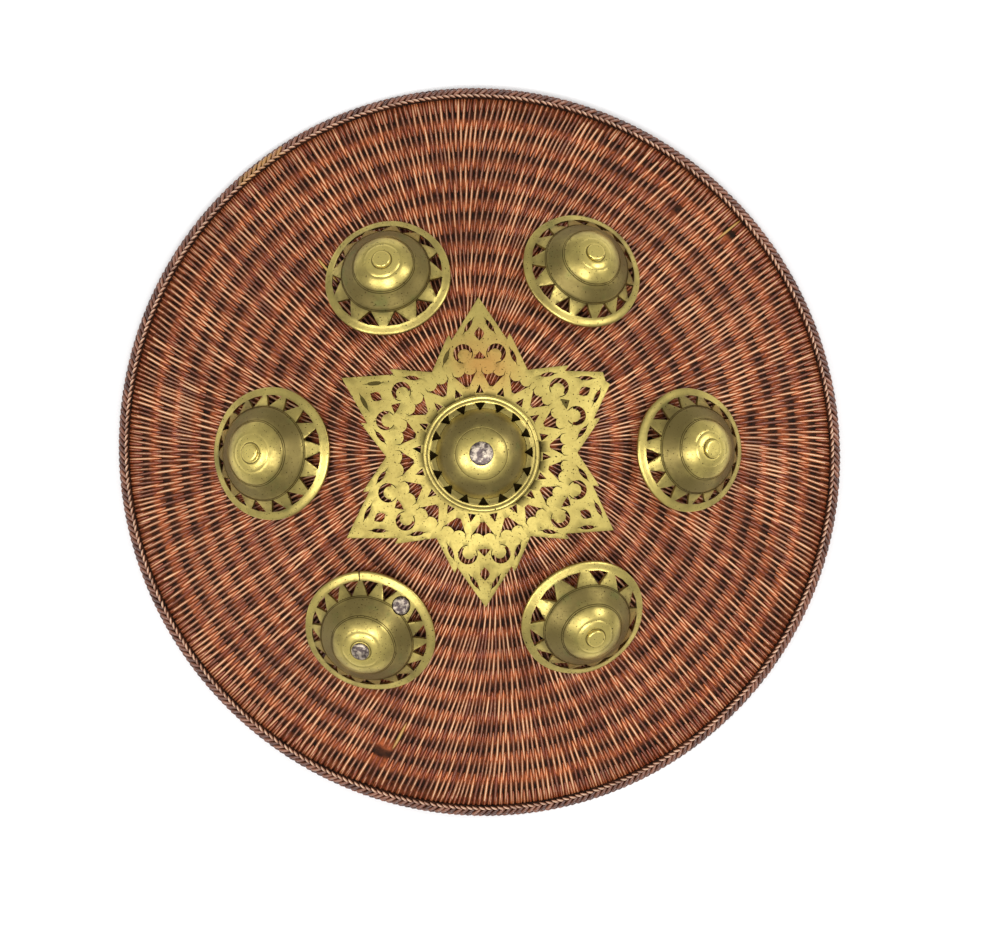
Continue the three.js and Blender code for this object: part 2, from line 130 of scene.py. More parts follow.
def done_editing():
    bpy.ops.mesh.select_all(action="SELECT")
    bpy.ops.mesh.remove_doubles(threshold=MERGE_DISTANCE * MM)
    bpy.ops.mesh.normals_make_consistent(inside=False)
    bpy.ops.object.mode_set(mode="OBJECT")


def apply(piece, kind, **settings):
    """Adds a modifier with its settings and applies it."""
    only(piece)
    modifier = piece.modifiers.new(kind.lower(), kind)
    for name, value in settings.items():
        setattr(modifier, name, value)
    bpy.ops.object.modifier_apply(modifier=modifier.name)


def cut(piece, cutter, how="DIFFERENCE"):
    """Cuts a piece with another closed one, which is used up."""
    apply(piece, "BOOLEAN", object=cutter, operation=how, solver="MANIFOLD")
    bpy.data.objects.remove(cutter)
    return piece


def joined(pieces):
    only(pieces[0])
    for piece in pieces[1:]:
        piece.select_set(True)
    bpy.ops.object.join()
    return pieces[0]


def points(piece):
    """The points of a piece in millimetres, as rows of x, y and z."""
    flat = np.empty(len(piece.data.vertices) * 3)
    piece.data.vertices.foreach_get("co", flat)
    return flat.reshape(-1, 3) / MM


def move_points(piece, places):
    piece.data.vertices.foreach_set("co", (places * MM).ravel())
    piece.data.update()


def bevelled(piece, width, steepest, segments=1):
    """Rounds the edges that turn more than an angle in degrees."""
    apply(piece, "BEVEL", width=width * MM, segments=segments,
          limit_method="ANGLE", angle_limit=math.radians(steepest))


def repeated(piece, count, axis, spacing):
    """Copies a piece along an axis. Returns which copy each point is on, and its place in that copy."""
    offset = Vector()
    offset[axis] = spacing
    apply(piece, "ARRAY", count=count, use_relative_offset=False,
          use_constant_offset=True, constant_offset_displace=offset)
    places = points(piece) * MM
    which = np.floor(places[:, axis] / spacing + 0.5).astype(int)
    places[:, axis] -= spacing * which
    return which, places.T


# %% Turned and cut shapes
def closed_section(first, second):
    """The section between two lines of points, as corners of (radius, height)."""
    section = np.concatenate([first, second[::-1], first[:1]])
    return section[:, [0, 2]].tolist()


def turned(profile, steps):
    """Draws a profile of (radius, height) in millimetres by extruding one corner, and spins it."""
    deselect()
    bpy.ops.mesh.primitive_plane_add(size=MM)
    bpy.ops.object.mode_set(mode="EDIT")
    bpy.ops.mesh.merge(type="CENTER")
    (radius, height), *rest = profile
    bpy.ops.transform.translate(value=(radius * MM, 0, height * MM))
    for next_radius, next_height in rest:
        step = ((next_radius - radius) * MM, 0, (next_height - height) * MM)
        bpy.ops.mesh.extrude_vertices_move(TRANSFORM_OT_translate={"value": step})
        radius, height = next_radius, next_height
    bpy.ops.mesh.select_all(action="SELECT")
    bpy.ops.mesh.spin(steps=steps, angle=math.tau, center=(0, 0, 0), axis=(0, 0, 1))
    done_editing()
    return bpy.context.object


def prism(outline, low, high):
    """A flat outline of (x, y) in millimetres, extruded up from one height to another."""
    deselect()
    bpy.ops.mesh.primitive_circle_add(vertices=len(outline), radius=MM, fill_type="NGON")
    piece = bpy.context.object
    for corner, (x, y) in zip(piece.data.vertices, outline):
        corner.co = Vector((x, y, low)) * MM
    only(piece)
    bpy.ops.object.mode_set(mode="EDIT")
    bpy.ops.mesh.select_all(action="SELECT")
    rise = (0, 0, (high - low) * MM)
    bpy.ops.mesh.extrude_region_move(TRANSFORM_OT_translate={"value": rise})
    done_editing()
    return piece


def prisms(outlines, low, high):
    return joined([prism(outline, low, high) for outline in outlines])


# %% Handing a piece to the frame
def hand_over(piece, name, finish, slot, *nodes, crease=40):
    """Names a finished piece, gives it its finish and its smooth shading, and ties it to the frame."""
    piece.name = piece.data.name = name
    piece.data.materials.clear()
    piece.data.materials.append(finish)
    only(piece)
    bpy.ops.object.shade_smooth_by_angle(angle=math.radians(crease))
    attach(piece, "root")
    if nodes:
        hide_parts(*nodes)
    print(name, "faces:", len(piece.data.polygons))

# %% [markdown]
# The finishes are worked out by maths on noise, so they need no pictures. Written out link by link
# that maths is hard to read. A wire here is one output of a shader node, and adding or multiplying
# wires adds the Math nodes. Every other node comes from one method of the palette, which also
# holds the material's own shader.

# %% A palette for finishes
class Wire:
    """One output of a shader node, which can be used in sums."""

    def __init__(self, palette, socket):
        self.palette = palette
        self.socket = socket

    def maths(self, operation, left, right):
        return self.palette.node("Math", {"operation": operation}, {0: left, 1: right})

    def __add__(self, other):
        return self.maths("ADD", self, other)

    def __mul__(self, other):
        return self.maths("MULTIPLY", self, other)

    def __sub__(self, other):
        return self.maths("SUBTRACT", self, other)

    def __rsub__(self, other):
        return self.maths("SUBTRACT", other, self)

    __radd__ = __add__
    __rmul__ = __mul__


class Palette:
    """A material and the nodes that make its finish."""

    def __init__(self, name, **constants):
        self.material = bpy.data.materials.new(name)
        self.material.use_nodes = True
        self.tree = self.material.node_tree
        self.shader = self.tree.nodes["Principled BSDF"]
        self.paint(**constants)

    def feed(self, socket, value):
        if isinstance(value, Wire):
            self.tree.links.new(value.socket, socket)
        else:
            socket.default_value = value

    def paint(self, **sockets):
        """Sets sockets of the shader. An underscore in a name stands for a space."""
        for name, value in sockets.items():
            self.feed(self.shader.inputs[name.replace("_", " ")], value)

    def node(self, kind, settings, sockets, output=0):
        node = self.tree.nodes.new("ShaderNode" + kind)
        for name, value in settings.items():
            setattr(node, name, value)
        for name, value in sockets.items():
            self.feed(node.inputs[name], value)
        return Wire(self, node.outputs[output])

    def noise(self, scale, detail=3.0, rough=0.55):
        where = self.node("TexCoord", {}, {}, "Object")
        sockets = {"Vector": where, "Scale": scale, "Detail": detail, "Roughness": rough}
        return self.node("TexNoise", {}, sockets)

    def between(self, value, low, high):
        """0 below one value and 1 above another, with a soft step between them."""
        sockets = {"Value": value, "From Min": low, "From Max": high}
        return self.node("MapRange", {"interpolation_type": "SMOOTHSTEP"}, sockets)

    def mix(self, share, first, second, blend="MIX"):
        sockets = {0: share, 6: first, 7: second}
        return self.node("Mix", {"data_type": "RGBA", "blend_type": blend}, sockets, 2)

    def mark(self, name):
        """A number that a piece carries on its points."""
        return self.node("Attribute", {"attribute_name": name}, {}, "Fac")

    def bump(self, height, depth, strength=1.0):
        sockets = {"Height": height, "Distance": depth * MM, "Strength": strength}
        self.paint(Normal=self.node("Bump", {}, sockets))


def tint(red, green, blue):
    """A colour named by the everyday scale of 0 to 255, as the shader's linear values."""
    parts = [part / 255 for part in (red, green, blue)]
    curve = [p / 12.92 if p <= 0.04045 else ((p + 0.055) / 1.055) ** 2.4 for p in parts]
    return (*curve, 1.0)


def marked(piece, **marks):
    """Writes numbers on the points of a piece, one for all or one for each, for its finish to read."""
    for name, values in marks.items():
        values = np.broadcast_to(values, len(piece.data.vertices))
        layer = piece.data.attributes.new(name, "FLOAT", "POINT")
        layer.data.foreach_set("value", np.ascontiguousarray(values, dtype=np.float32))


# %% [markdown]
# Cane finishes. Split cane is a dark red-brown after long use. It shows more orange where it dips
# between the coils and less orange on the crests, where the colour is partly wear and partly a
# painted sheen. A thin line along the ridge of each strand is a painted highlight, a pale glint.
# Each strand has its own tone, and all of this is written on the mesh as numbers. A few strands
# have been knocked and show their yellow inside. The coil beneath is painted nearly black on its
# crests, its own dark brown deepened into a painted shade for the gaps between the stitches, but
# between two coils so many strands dive together that the floor there is cane too.

# %% Cane finishes
def cane_finish(name, dip, crest, ridge, pale):
    palette = Palette(name, Coat_Weight=0.5, Coat_Roughness=0.25)
    tone = palette.mark("tone")
    grain = palette.noise(900, detail=2)
    patches = palette.noise(30)
    warm = palette.mix(palette.between(tone + 0.9 * patches, 0.5, 1.35), dip[0], dip[1])
    # The crest colour is partly wear and partly a painted sheen.
    wear_and_sheen = palette.mix(palette.between(tone + 0.4 * grain, 0.3, 1.1), crest[0], crest[1])
    colour = palette.mix(palette.mark("crest"), warm, wear_and_sheen)
    # Painted highlight: a pale glint along the ridge of each strand.
    glint_share = palette.between(palette.mark("ridge") + 0.45 * tone + 0.5 * grain, 1.04, 1.7)
    colour = palette.mix(glint_share, colour, ridge)
    # Darker patches at random over the cane: dirt, with no shade in them.
    dirt = palette.between(patches + 0.35 * grain, 0.9, 0.62) * 0.22 + 0.78
    shade = palette.node("CombineColor", {}, {0: dirt, 1: dirt, 2: dirt})
    colour = palette.mix(1.0, colour, shade, "MULTIPLY")
    colour = palette.mix(palette.mark("fresh"), colour, pale)
    palette.paint(Base_Color=colour, Roughness=0.3 + 0.25 * grain)
    palette.bump(grain, 0.12, 0.6)
    return palette.material


def coil_finish():
    palette = Palette("dark coil", Roughness=0.8, Specular_IOR_Level=0.15)
    strands = palette.between(palette.noise(260), 0.35, 0.7)
    # Painted shade: the crests are painted near black for the shade in the gaps between the stitches.
    crest = palette.mix(strands, tint(26, 13, 6), tint(62, 32, 16))
    valley = palette.mix(strands, tint(108, 52, 28), tint(180, 96, 56))
    palette.paint(Base_Color=palette.mix(palette.mark("valley"), crest, valley))
    return palette.material


sewn_cane = cane_finish(
    "sewn cane",
    dip=(tint(146, 62, 28), tint(224, 124, 66)),
    crest=(tint(104, 51, 29), tint(184, 114, 72)),
    ridge=tint(240, 204, 162),
    pale=tint(222, 184, 92),
)
plaited_cane = cane_finish(
    "plaited cane",
    dip=(tint(72, 38, 26), tint(132, 80, 58)),
    crest=(tint(92, 52, 38), tint(164, 112, 84)),
    ridge=tint(222, 188, 156),
    pale=tint(196, 146, 76),
)
dark_coil = coil_finish()

# %% [markdown]
# The coil. A bundle of cane runs round the dome in sixteen rows, each one lying against the last.
# Only slivers of it show between the stitches, on the face and behind. One section through all the
# rows is drawn with a bulge for each, front and back, and spun round the axis.

# %% The coil under the stitches
ROW_SPACING = 11.7
OUTER_ROW = 184.2
ROWS = 16
COIL_CREST = 1.3
COIL_VALLEY = 2.5
row_radii = OUTER_ROW - ROW_SPACING * np.arange(ROWS)


def coil_depth(radius):
    phase = math.tau * (radius - OUTER_ROW) / ROW_SPACING
    return COIL_CREST + (COIL_VALLEY - COIL_CREST) * (1 - np.cos(phase)) / 2


def coil_section():
    radii = np.append(np.arange(0, EDGE_RADIUS - 1, ROW_SPACING / 8), EDGE_RADIUS - 1)
    front = off_face(radii, 0, -coil_depth(radii))
    back = off_face(radii, 0, coil_depth(radii) - BODY_THICKNESS)
    section = np.concatenate([front, back[::-1]])
    section[[0, -1], 0] = 0
    return section[:, [0, 2]].tolist()


def valley_share(radius):
    """0 on the crest of a coil and 1 between two coils."""
    depth = (coil_depth(radius) - COIL_CREST) / (COIL_VALLEY - COIL_CREST)
    return np.clip(1.7 * depth - 0.35, 0, 1) * np.where(radius > OUTER_ROW, 0.45, 1)


coil = turned(coil_section(), steps=160)
marked(coil, valley=valley_share(np.hypot(*points(coil)[:, :2].T)))
coil.data.transform(MAKE_OVAL)
hand_over(coil, "coil", dark_coil, "cane", "woven_body")

# %% [markdown]
# One stitch. A split strand goes over the coil and its ends dive between the coils, so from
# outside it is a long blade, pointed at both ends. A sphere of four sides already has that form
# once its middle is filled out. It is modelled one unit long each way, and every stitch of a set
# of rows is a copy of it.

# %% One stitch
BLADE_SPACING = 4


def blade(rings, fullness):
    deselect()
    bpy.ops.mesh.primitive_uv_sphere_add(segments=4, ring_count=rings, radius=1)
    stitch = bpy.context.object
    stitch.data.transform(rotation(90, "Y"))
    corners = points(stitch) * MM
    girth = np.sqrt(np.clip(1 - corners[:, 0] ** 2, 1e-9, 1))
    fuller = np.clip(1 - np.abs(corners[:, 0]) ** fullness, 0, 1) ** 0.6
    corners[:, 1:] *= (fuller / girth)[:, None]
    move_points(stitch, corners / MM)
    return stitch


# %% [markdown]
# Where the stitches go. The sewer works outwards. Each stitch passes between two of the row below,
# so the rows interlock, and an extra stitch goes in wherever the gaps have grown too wide. The
# stitches also lean: the shield was turned a quarter at a time while it was sewn, so the lean drifts
# through each quarter and then swings back, which leaves four seams of small chevrons. One last row
# of short, dull stitches fills the spaces between the outermost ones and runs in under the rim.

# %% Rows of stitches
# How far the stitches lean from the way out, in degrees, at some directions round the shield.
LEANS = [(0, -9), (8, 2), (26, 8), (40, 1), (56, -10), (72, -13), (88, -10), (96, 0), (120, 5),
         (136, -2), (160, -14), (176, -9), (184, 3), (196, 10), (208, 9), (216, 2), (240, -7),
         (266, -15), (276, -4), (304, 5), (312, -1), (336, -14), (352, -13)]
# Stitches are this far apart at one radius, and a little more for each millimetre further out.
PITCH, PITCH_RADIUS, PITCH_GROWTH = 2.5, 104, 0.0055
EVENING_PASSES = 5
draw = np.random.default_rng(11)


def lean_at(turn):
    at, lean = np.array(LEANS).T
    return np.radians(np.interp(np.degrees(turn), at, lean, period=360))


def stitch_pitch(radius):
    return PITCH + PITCH_GROWTH * (radius - PITCH_RADIUS)


def gaps_of(turns):
    return np.diff(np.append(turns, turns[0] + math.tau))


def next_row(turns, radius):
    """Directions of the stitches of a row, from those of the row inside it."""
    turns = turns + gaps_of(turns) / 2
    turns = np.sort(turns + ROW_SPACING * np.tan(lean_at(turns)) / (radius - ROW_SPACING / 2))
    wanted = round(math.tau * radius / stitch_pitch(radius))
    gaps = gaps_of(turns)
    widest = np.argsort(gaps * draw.uniform(0.8, 1.2, len(gaps)))[len(turns) - wanted:]
    extra = turns[widest] + gaps[widest] / 2
    turns = np.sort(np.concatenate([turns, extra]))
    for _ in range(EVENING_PASSES):
        around = np.concatenate([[turns[-1] - math.tau], turns, [turns[0] + math.tau]])
        turns = turns / 2 + (around[:-2] + around[2:]) / 4
    return turns


def all_rows():
    inmost = row_radii[-1]
    first = round(math.tau * inmost / stitch_pitch(inmost))
    rows = [np.arange(first) * math.tau / first]
    for radius in row_radii[-2::-1]:
        rows.append(next_row(rows[-1], radius))
    return rows[::-1]


row_turns = all_rows()
row_turns.append(next_row(row_turns[0], OUTER_ROW + ROW_SPACING))
print("stitches in each row:", [len(turns) for turns in row_turns])

# %% Sewing
STITCH_REACH = 0.8
STITCH_WIDTH = 0.8
STITCH_THICKNESS = 0.5
LENGTH_RANGE = (0.94, 1.06)
WIDTH_RANGE = (0.85, 1.15)
LEAN_SCATTER = 1.6
HEIGHT_SCATTER = 0.12
EDGE_STRETCH = 1.15
EDGE_SHIFT = 1.6
SHORT_ROW = ROWS
SHORT_RADIUS = 191.4
SHORT_STRETCH = 0.56
SHORT_TONE = 0.45
SHORT_CREST = 0.5
sewn_radii = np.append(row_radii, SHORT_RADIUS)
sewn_radii[0] += EDGE_SHIFT
stretches = np.ones(ROWS + 1)
stretches[[0, SHORT_ROW]] = EDGE_STRETCH, SHORT_STRETCH
CREST_DEPTH = 0.5
TIP_DEPTH = 1.9
# Places where the cane has been knocked, and places where stitches have gone: the direction and
# distance of each, and half its size out and along.
KNOCKS = [(49.9, 175.7, 5, 1.3), (41.2, 185, 5, 1.3), (128.2, 156, 2.4, 1.6), (130, 129, 5, 1.8),
          (82.3, 144, 6, 1.7), (254.2, 166, 7, 3)]
LOSSES = [(251.6, 172.5, 5, 3.4), (50.4, 171.4, 5, 1.2), (40.4, 184.2, 5, 1.2)]


def within(spots, turn, radius):
    """Which places are inside any of some spots."""
    inside = np.zeros(len(turn), bool)
    for at, distance, tall, wide in spots:
        aside = (turn - math.radians(at)) * radius
        inside |= np.hypot((radius - distance) / tall, aside / wide) < 1
    return inside


def sewn(name, stitch, rows, front):
    """Lays a copy of the stitch at every place in some rows, bent over the coil and the dome."""
    turn = np.concatenate([row_turns[row] for row in rows])
    row = np.repeat(rows, [len(row_turns[row]) for row in rows])
    if front:
        left = ~within(LOSSES, turn, sewn_radii[row])
        turn, row = turn[left], row[left]
    radius = sewn_radii[row]
    count = len(turn)
    lean = lean_at(turn) + np.radians(draw.normal(0, LEAN_SCATTER, count))
    half = ROW_SPACING * STITCH_REACH * draw.uniform(*LENGTH_RANGE, count) * stretches[row]
    pitch = stitch_pitch(radius) / stitch_pitch(OUTER_ROW)
    broad = STITCH_WIDTH * pitch * draw.uniform(*WIDTH_RANGE, count)
    high = draw.normal(0, HEIGHT_SCATTER, count)
    tone = draw.beta(1.6, 1.8, count) * np.where(row == SHORT_ROW, SHORT_TONE, 1)
    fresh = within(KNOCKS, turn, radius) * front * draw.uniform(0.45, 1, count)
    which, (along, across, up) = repeated(stitch, count, 1, BLADE_SPACING)
    side = 1 if front else -1
    out = -CREST_DEPTH - (TIP_DEPTH - CREST_DEPTH) * along**2 + STITCH_THICKNESS * up + high[which]
    out = out if front else -BODY_THICKNESS - out
    ahead = along * half[which]
    sideways = side * across * broad[which]
    lean = lean[which]
    reach = radius[which] + ahead - sideways * np.sin(lean) * np.cos(face_slope(radius[which]))
    reach = np.maximum(reach, 1)
    swing = (ahead * np.tan(lean) + sideways * np.cos(lean)) / reach
    move_points(stitch, off_face(reach, turn[which] + swing, out))
    stitch.data.transform(MAKE_OVAL)
    dull = np.where(row == SHORT_ROW, SHORT_CREST, 1)[which]
    # The ridge of each stitch carries the painted glint.
    marked(stitch, tone=tone[which], crest=dull * np.clip(1.1 - 1.9 * along**2, 0, 1),
           ridge=np.clip(up, 0, 1), fresh=fresh[which])
    hand_over(stitch, name, sewn_cane, "cane", crease=180)


OUTER_ROWS = [SHORT_ROW, *range(7)]
INNER_ROWS = range(7, ROWS)
sewn("outer_stitches", blade(8, 3), OUTER_ROWS, front=True)
sewn("inner_stitches", blade(8, 3), INNER_ROWS, front=True)
sewn("back_stitches", blade(6, 3), range(ROWS + 1), front=False)

# %% [markdown]
# The rim. The edge of the coil is bound with a plait that wraps from the face, over the edge, to
# the back. In a plait each strand leans the opposite way to its neighbours and dives under them at
# both ends. Seven columns of the same blade, laid round a channel, give that herringbone. The
# inmost column on the face stands proudest and is painted bright, partly for wear and partly as a
# painted sheen with a stronger painted glint.

# %% The way round the edge
EDGE_SLOPE = face_slope(EDGE_RADIUS)
EDGE_HEIGHT = face_height(EDGE_RADIUS)
WRAP_REACH = 5
WRAP_BULGE = 1.7
WRAP_LEGS = [WRAP_REACH, WRAP_BULGE * math.pi / 2, BODY_THICKNESS, WRAP_BULGE * math.pi / 2, WRAP_REACH]
WRAP_ENDS = np.cumsum([0, *WRAP_LEGS])


def round_edge(travel, turn, lift):
    """Points round the edge: travel runs from the face over the edge to the back, in millimetres."""
    front, top_bend, side, low_bend, back = (
        np.clip(travel - start, 0, leg) for start, leg in zip(WRAP_ENDS, WRAP_LEGS))
    angle = math.pi / 2 - (top_bend + low_bend) / WRAP_BULGE
    reach = WRAP_BULGE + lift
    along = -WRAP_REACH + front - back + reach * np.cos(angle)
    out = -side + reach * np.sin(angle)
    radius = EDGE_RADIUS + along * math.cos(EDGE_SLOPE) + out * math.sin(EDGE_SLOPE)
    height = EDGE_HEIGHT - along * math.sin(EDGE_SLOPE) + out * math.cos(EDGE_SLOPE)
    return round_axis(radius, turn, np.maximum(height, 0))


CHANNEL_OUTSIDE, CHANNEL_INSIDE = -0.7, -1.4
travel = np.linspace(0, WRAP_ENDS[-1], 34)
outside, inside = (round_edge(travel, 0, lift) for lift in (CHANNEL_OUTSIDE, CHANNEL_INSIDE))
channel = turned(closed_section(outside, inside), steps=160)
channel.data.transform(MAKE_OVAL)
marked(channel, valley=0)
# The channel takes the coil's near-black painted shade, seen between the strands of the plait.
hand_over(channel, "rim_channel", dark_coil, "plaited_cane", "rim_binding")

# %% Plaiting
PLAIT_COUNT = 364
PLAIT_PITCH = math.tau * EDGE_RADIUS / PLAIT_COUNT
# Each column: where its middle lies on the way round, how far its strands reach that way and along
# the rim (negative leans back), how proud it stands, and how much wear and painted sheen it shows.
PLAIT_COLUMNS = [
    (1.0, 1.0, 1.9, 0.25, 1.0),
    (3.9, 2.3, -3.0, 0.0, 0.1),
    (7.6, 2.3, 3.0, 0.0, 0.0),
    (11.0, 2.3, -3.0, 0.0, 0.0),
    (14.4, 2.3, 3.0, 0.0, 0.0),
    (17.6, 2.1, -3.0, 0.0, 0.0),
    (20.3, 1.2, 2.0, 0.1, 0.4),
]
STRAND_LIFT = 0.1
STRAND_BOW = 0.75
STRAND_THICKNESS = 0.55
# Where the rim has been knocked on its face and shows fresh cane: direction, and half its length.
RIM_KNOCK = (127.5, 4.5)


def plait():
    count = PLAIT_COUNT * len(PLAIT_COLUMNS)
    middle, reach, run, proud, wear_and_sheen = np.repeat(np.array(PLAIT_COLUMNS), PLAIT_COUNT, axis=0).T
    place = np.tile(np.arange(PLAIT_COUNT), len(PLAIT_COLUMNS)) + draw.normal(0, 0.05, count)
    half_length = np.hypot(reach, run)
    half_width = 0.5 * PLAIT_PITCH * reach / half_length * draw.uniform(0.95, 1.1, count)
    tone = np.clip(draw.beta(2.2, 2.2, count) + 0.35 * wear_and_sheen, 0, 1)
    strand_turn = np.degrees(place * PLAIT_PITCH / EDGE_RADIUS)
    fresh = (np.abs(strand_turn - RIM_KNOCK[0]) < RIM_KNOCK[1]) & (middle < WRAP_REACH)
    strand = blade(8, 5)
    which, (along, across, up) = repeated(strand, count, 1, BLADE_SPACING)
    across = across * half_width[which]
    share = reach[which] / half_length[which]
    slant = run[which] / half_length[which]
    travel = middle[which] + along * reach[which] - across * slant
    ahead = place[which] * PLAIT_PITCH + along * run[which] + across * share
    lift = STRAND_LIFT + proud[which] - STRAND_BOW * along**2 + STRAND_THICKNESS * up
    move_points(strand, round_edge(travel, ahead / EDGE_RADIUS, lift))
    strand.data.transform(MAKE_OVAL)
    # Painted highlight: a glint along each strand's ridge, stronger on the inmost column.
    glint_share = np.clip(up, 0, 1) * (0.6 + 0.4 * wear_and_sheen[which])
    fresh = fresh * draw.uniform(0.2, 0.9, count)
    marked(strand, tone=tone[which], crest=wear_and_sheen[which], ridge=glint_share, fresh=fresh[which])
    return strand


hand_over(plait(), "rim_plait", plaited_cane, "plaited_cane", crease=180)

# %% [markdown]
# Brass finishes. The castings are old yellow brass. Ridges and edges are rubbed bright, the hollows
# are dull olive, and there are small dark pits. The fine grooves and engraved lines are painted dark,
# grime and painted shade together, and the star is painted dark where the middle boss covers it, a
# painted shade. The star is a paler, yellower plate with a brownish stain at the foot of its upper
# ray. The silvery rivets and the plug are a white metal.

# %% Metal finishes
def brass_finish(name, dull, bright, rough=0.0, stain=None):
    palette = Palette(name, Metallic=1.0)
    wear = palette.mark("wear")
    clouds = palette.noise(55, detail=5, rough=0.6)
    fine = palette.noise(700, detail=2)
    shine = palette.between(wear + 0.9 * (clouds - 0.5), 0.15, 0.85)
    colour = palette.mix(shine, dull, bright)
    green = palette.between(palette.noise(90, detail=4), 0.56, 0.72) * (1 - shine) * 0.5
    colour = palette.mix(green, colour, tint(104, 112, 62))
    if stain:
        where = palette.node("TexCoord", {}, {}, "Object")
        away = palette.node("VectorMath", {"operation": "DISTANCE"}, {0: where, 1: stain["spot"]}, "Value")
        spread = palette.between(away + 0.012 * clouds, stain["reach"], 0.004) * 0.75
        colour = palette.mix(spread, colour, tint(202, 150, 84))
    pits = palette.between(palette.noise(1300, detail=0), 0.74, 0.8)
    colour = palette.mix(pits, colour, tint(58, 46, 22))
    # Dark grooves and engraved lines are grime and painted shade; under the middle boss it is painted
    # shade.
    dirt = palette.mark("dirt")
    colour = palette.mix(dirt, colour, tint(52, 42, 20))
    roughness = 0.35 + rough - 0.14 * shine + 0.2 * fine + 0.2 * dirt
    palette.paint(Base_Color=colour, Roughness=roughness)
    palette.bump(clouds * 1.2 + 0.12 * fine - 0.3 * pits, 0.5, 0.5)
    return palette.material


def white_metal_finish():
    palette = Palette("white metal", Metallic=1.0)
    dents = palette.noise(420, detail=3)
    grey = palette.between(dents, 0.42, 0.62)
    colour = palette.mix(grey, tint(88, 77, 75), tint(182, 168, 150))
    palette.paint(Base_Color=colour, Roughness=0.34 + 0.2 * dents)
    palette.bump(dents, 0.5, 0.9)
    return palette.material


boss_brass = brass_finish("boss brass", tint(122, 108, 64), tint(216, 196, 112))
star_brass = brass_finish(
    "star brass", tint(158, 140, 78), tint(204, 186, 108), rough=0.23,
    stain={"spot": (4 * MM, 44 * MM, 72 * MM), "reach": 0.034})
white_metal = white_metal_finish()

# %% [markdown]
# The star. It was sawn from sheet brass and beaten to the curve of the dome. A turned sheet, cut to
# the outline by one boolean and pierced by another, is exactly that work. The openings of a ray are
# a diamond, a triangle, four slits and two crescents, and round the boss runs a band of scalloped
# openings with a zigzag bar inside it. The design was engraved before it was sawn: the lines run on
# past the openings, and a few openings were never sawn out. Cutters that go only a little way into
# the plate make those.

# %% Shapes for the star
def polar(turn_degrees, distance):
    turn = math.radians(turn_degrees)
    return Vector((distance * math.cos(turn), distance * math.sin(turn)))


def arc(middle, radius, from_degrees, to_degrees, steps):
    turns = np.linspace(from_degrees, to_degrees, steps + 1)
    return [middle + polar(turn, radius) for turn in turns]


STAR_OFFSET = Vector((1.9, -1.3))
NOTCH_RADIUS = 49.6
RAYS = [(31.4, 82, 73.5), (91.3, 82, None), (151.6, 83.5, None),
        (211.9, 83.5, None), (271.4, 80.2, None), (329.9, 79.6, None)]
BARB_AT = 0.42
BARB_DEPTH = 2.8
BARB_TIP = 0.04
BITE_ACROSS, BITE_DEPTH = 0.35, 1.2


def ray_side(notch, tip, sideways):
    """From a notch towards a tip, with a saw-tooth barb part way along."""
    along = tip - notch
    across = Vector((-along.y, along.x)).normalized() * sideways
    return [notch, notch + along * BARB_AT + across * BARB_DEPTH,
            notch + along * (BARB_AT + BARB_TIP) + across * BARB_DEPTH, notch + along * BARB_AT]


def ray_outline(turn, reach, broken_at, before, after):
    tip = polar(turn, reach)
    first, second = (polar((turn + other) / 2, NOTCH_RADIUS) for other in (before, after))
    up = ray_side(first, tip, -1)
    down = ray_side(second, tip, 1)[:0:-1]
    if not broken_at:
        return [*up, tip, *down]
    left = (broken_at - NOTCH_RADIUS / 2) / (reach - NOTCH_RADIUS / 2)
    stump = [first.lerp(tip, left), second.lerp(tip, left)]
    bite = stump[0].lerp(stump[1], BITE_ACROSS) + polar(turn, -BITE_DEPTH)
    return [*up, stump[0], bite, stump[1], *down]


def star_outline():
    turns = [turn for turn, _, _ in RAYS]
    around = [turns[-1] - 360, *turns, turns[0] + 360]
    sides = [ray_outline(*ray, around[i], around[i + 2]) for i, ray in enumerate(RAYS)]
    return [point for side in sides for point in side]


def leaf(middle, turn_degrees, length, width):
    """A slit pointed at both ends, bowed on both sides."""
    ahead = polar(turn_degrees, length / 2)
    aside = polar(turn_degrees + 90, width / 2)
    shares = np.linspace(-1, 1, 7)[:-1]
    side = [(share, 1 - abs(share) ** 3) for share in shares]
    return [middle + flip * (ahead * share + aside * bow) for flip in (1, -1) for share, bow in side]


def crescent(middle, turn_degrees, radius, width):
    lobe = middle + polar(turn_degrees, -width * 0.4)
    return [*arc(middle, radius, turn_degrees - 112, turn_degrees + 112, 12),
            *arc(lobe, radius - width * 0.6, turn_degrees + 98, turn_degrees - 98, 9)]


DIAMOND = [(66.2, 0), (64.2, 1.9), (62.6, 2.6), (61, 1.9), (59, 0), (61, -1.9), (62.6, -2.6), (64.2, -1.9)]
TRIANGLE = [(53.4, 0), (51, 2.2), (49.6, 3.2), (49.3, 0), (49.6, -3.2), (51, -2.2)]
# Slits and crescents: how far out and across the middle is, the lean, the length or radius, the width.
SLITS = [(66.8, 5.6, -33, 8.4, 2.2), (50.6, 17.4, -22, 8, 2.3)]
CRESCENT = (52.2, 8.6, 32, 5.1, 2.9)


def on_ray(turn, out, across):
    return polar(turn, out) + polar(turn + 90, across)


def ray_openings(turn):
    middle = [[on_ray(turn, *corner) for corner in shape] for shape in (DIAMOND, TRIANGLE)]
    pairs = [
        shape(on_ray(turn, out, across * side), turn + lean * side, *sizes)
        for side in (1, -1)
        for shape, (out, across, lean, *sizes) in ((leaf, SLITS[0]), (leaf, SLITS[1]), (crescent, CRESCENT))
    ]
    return [*middle, *pairs]


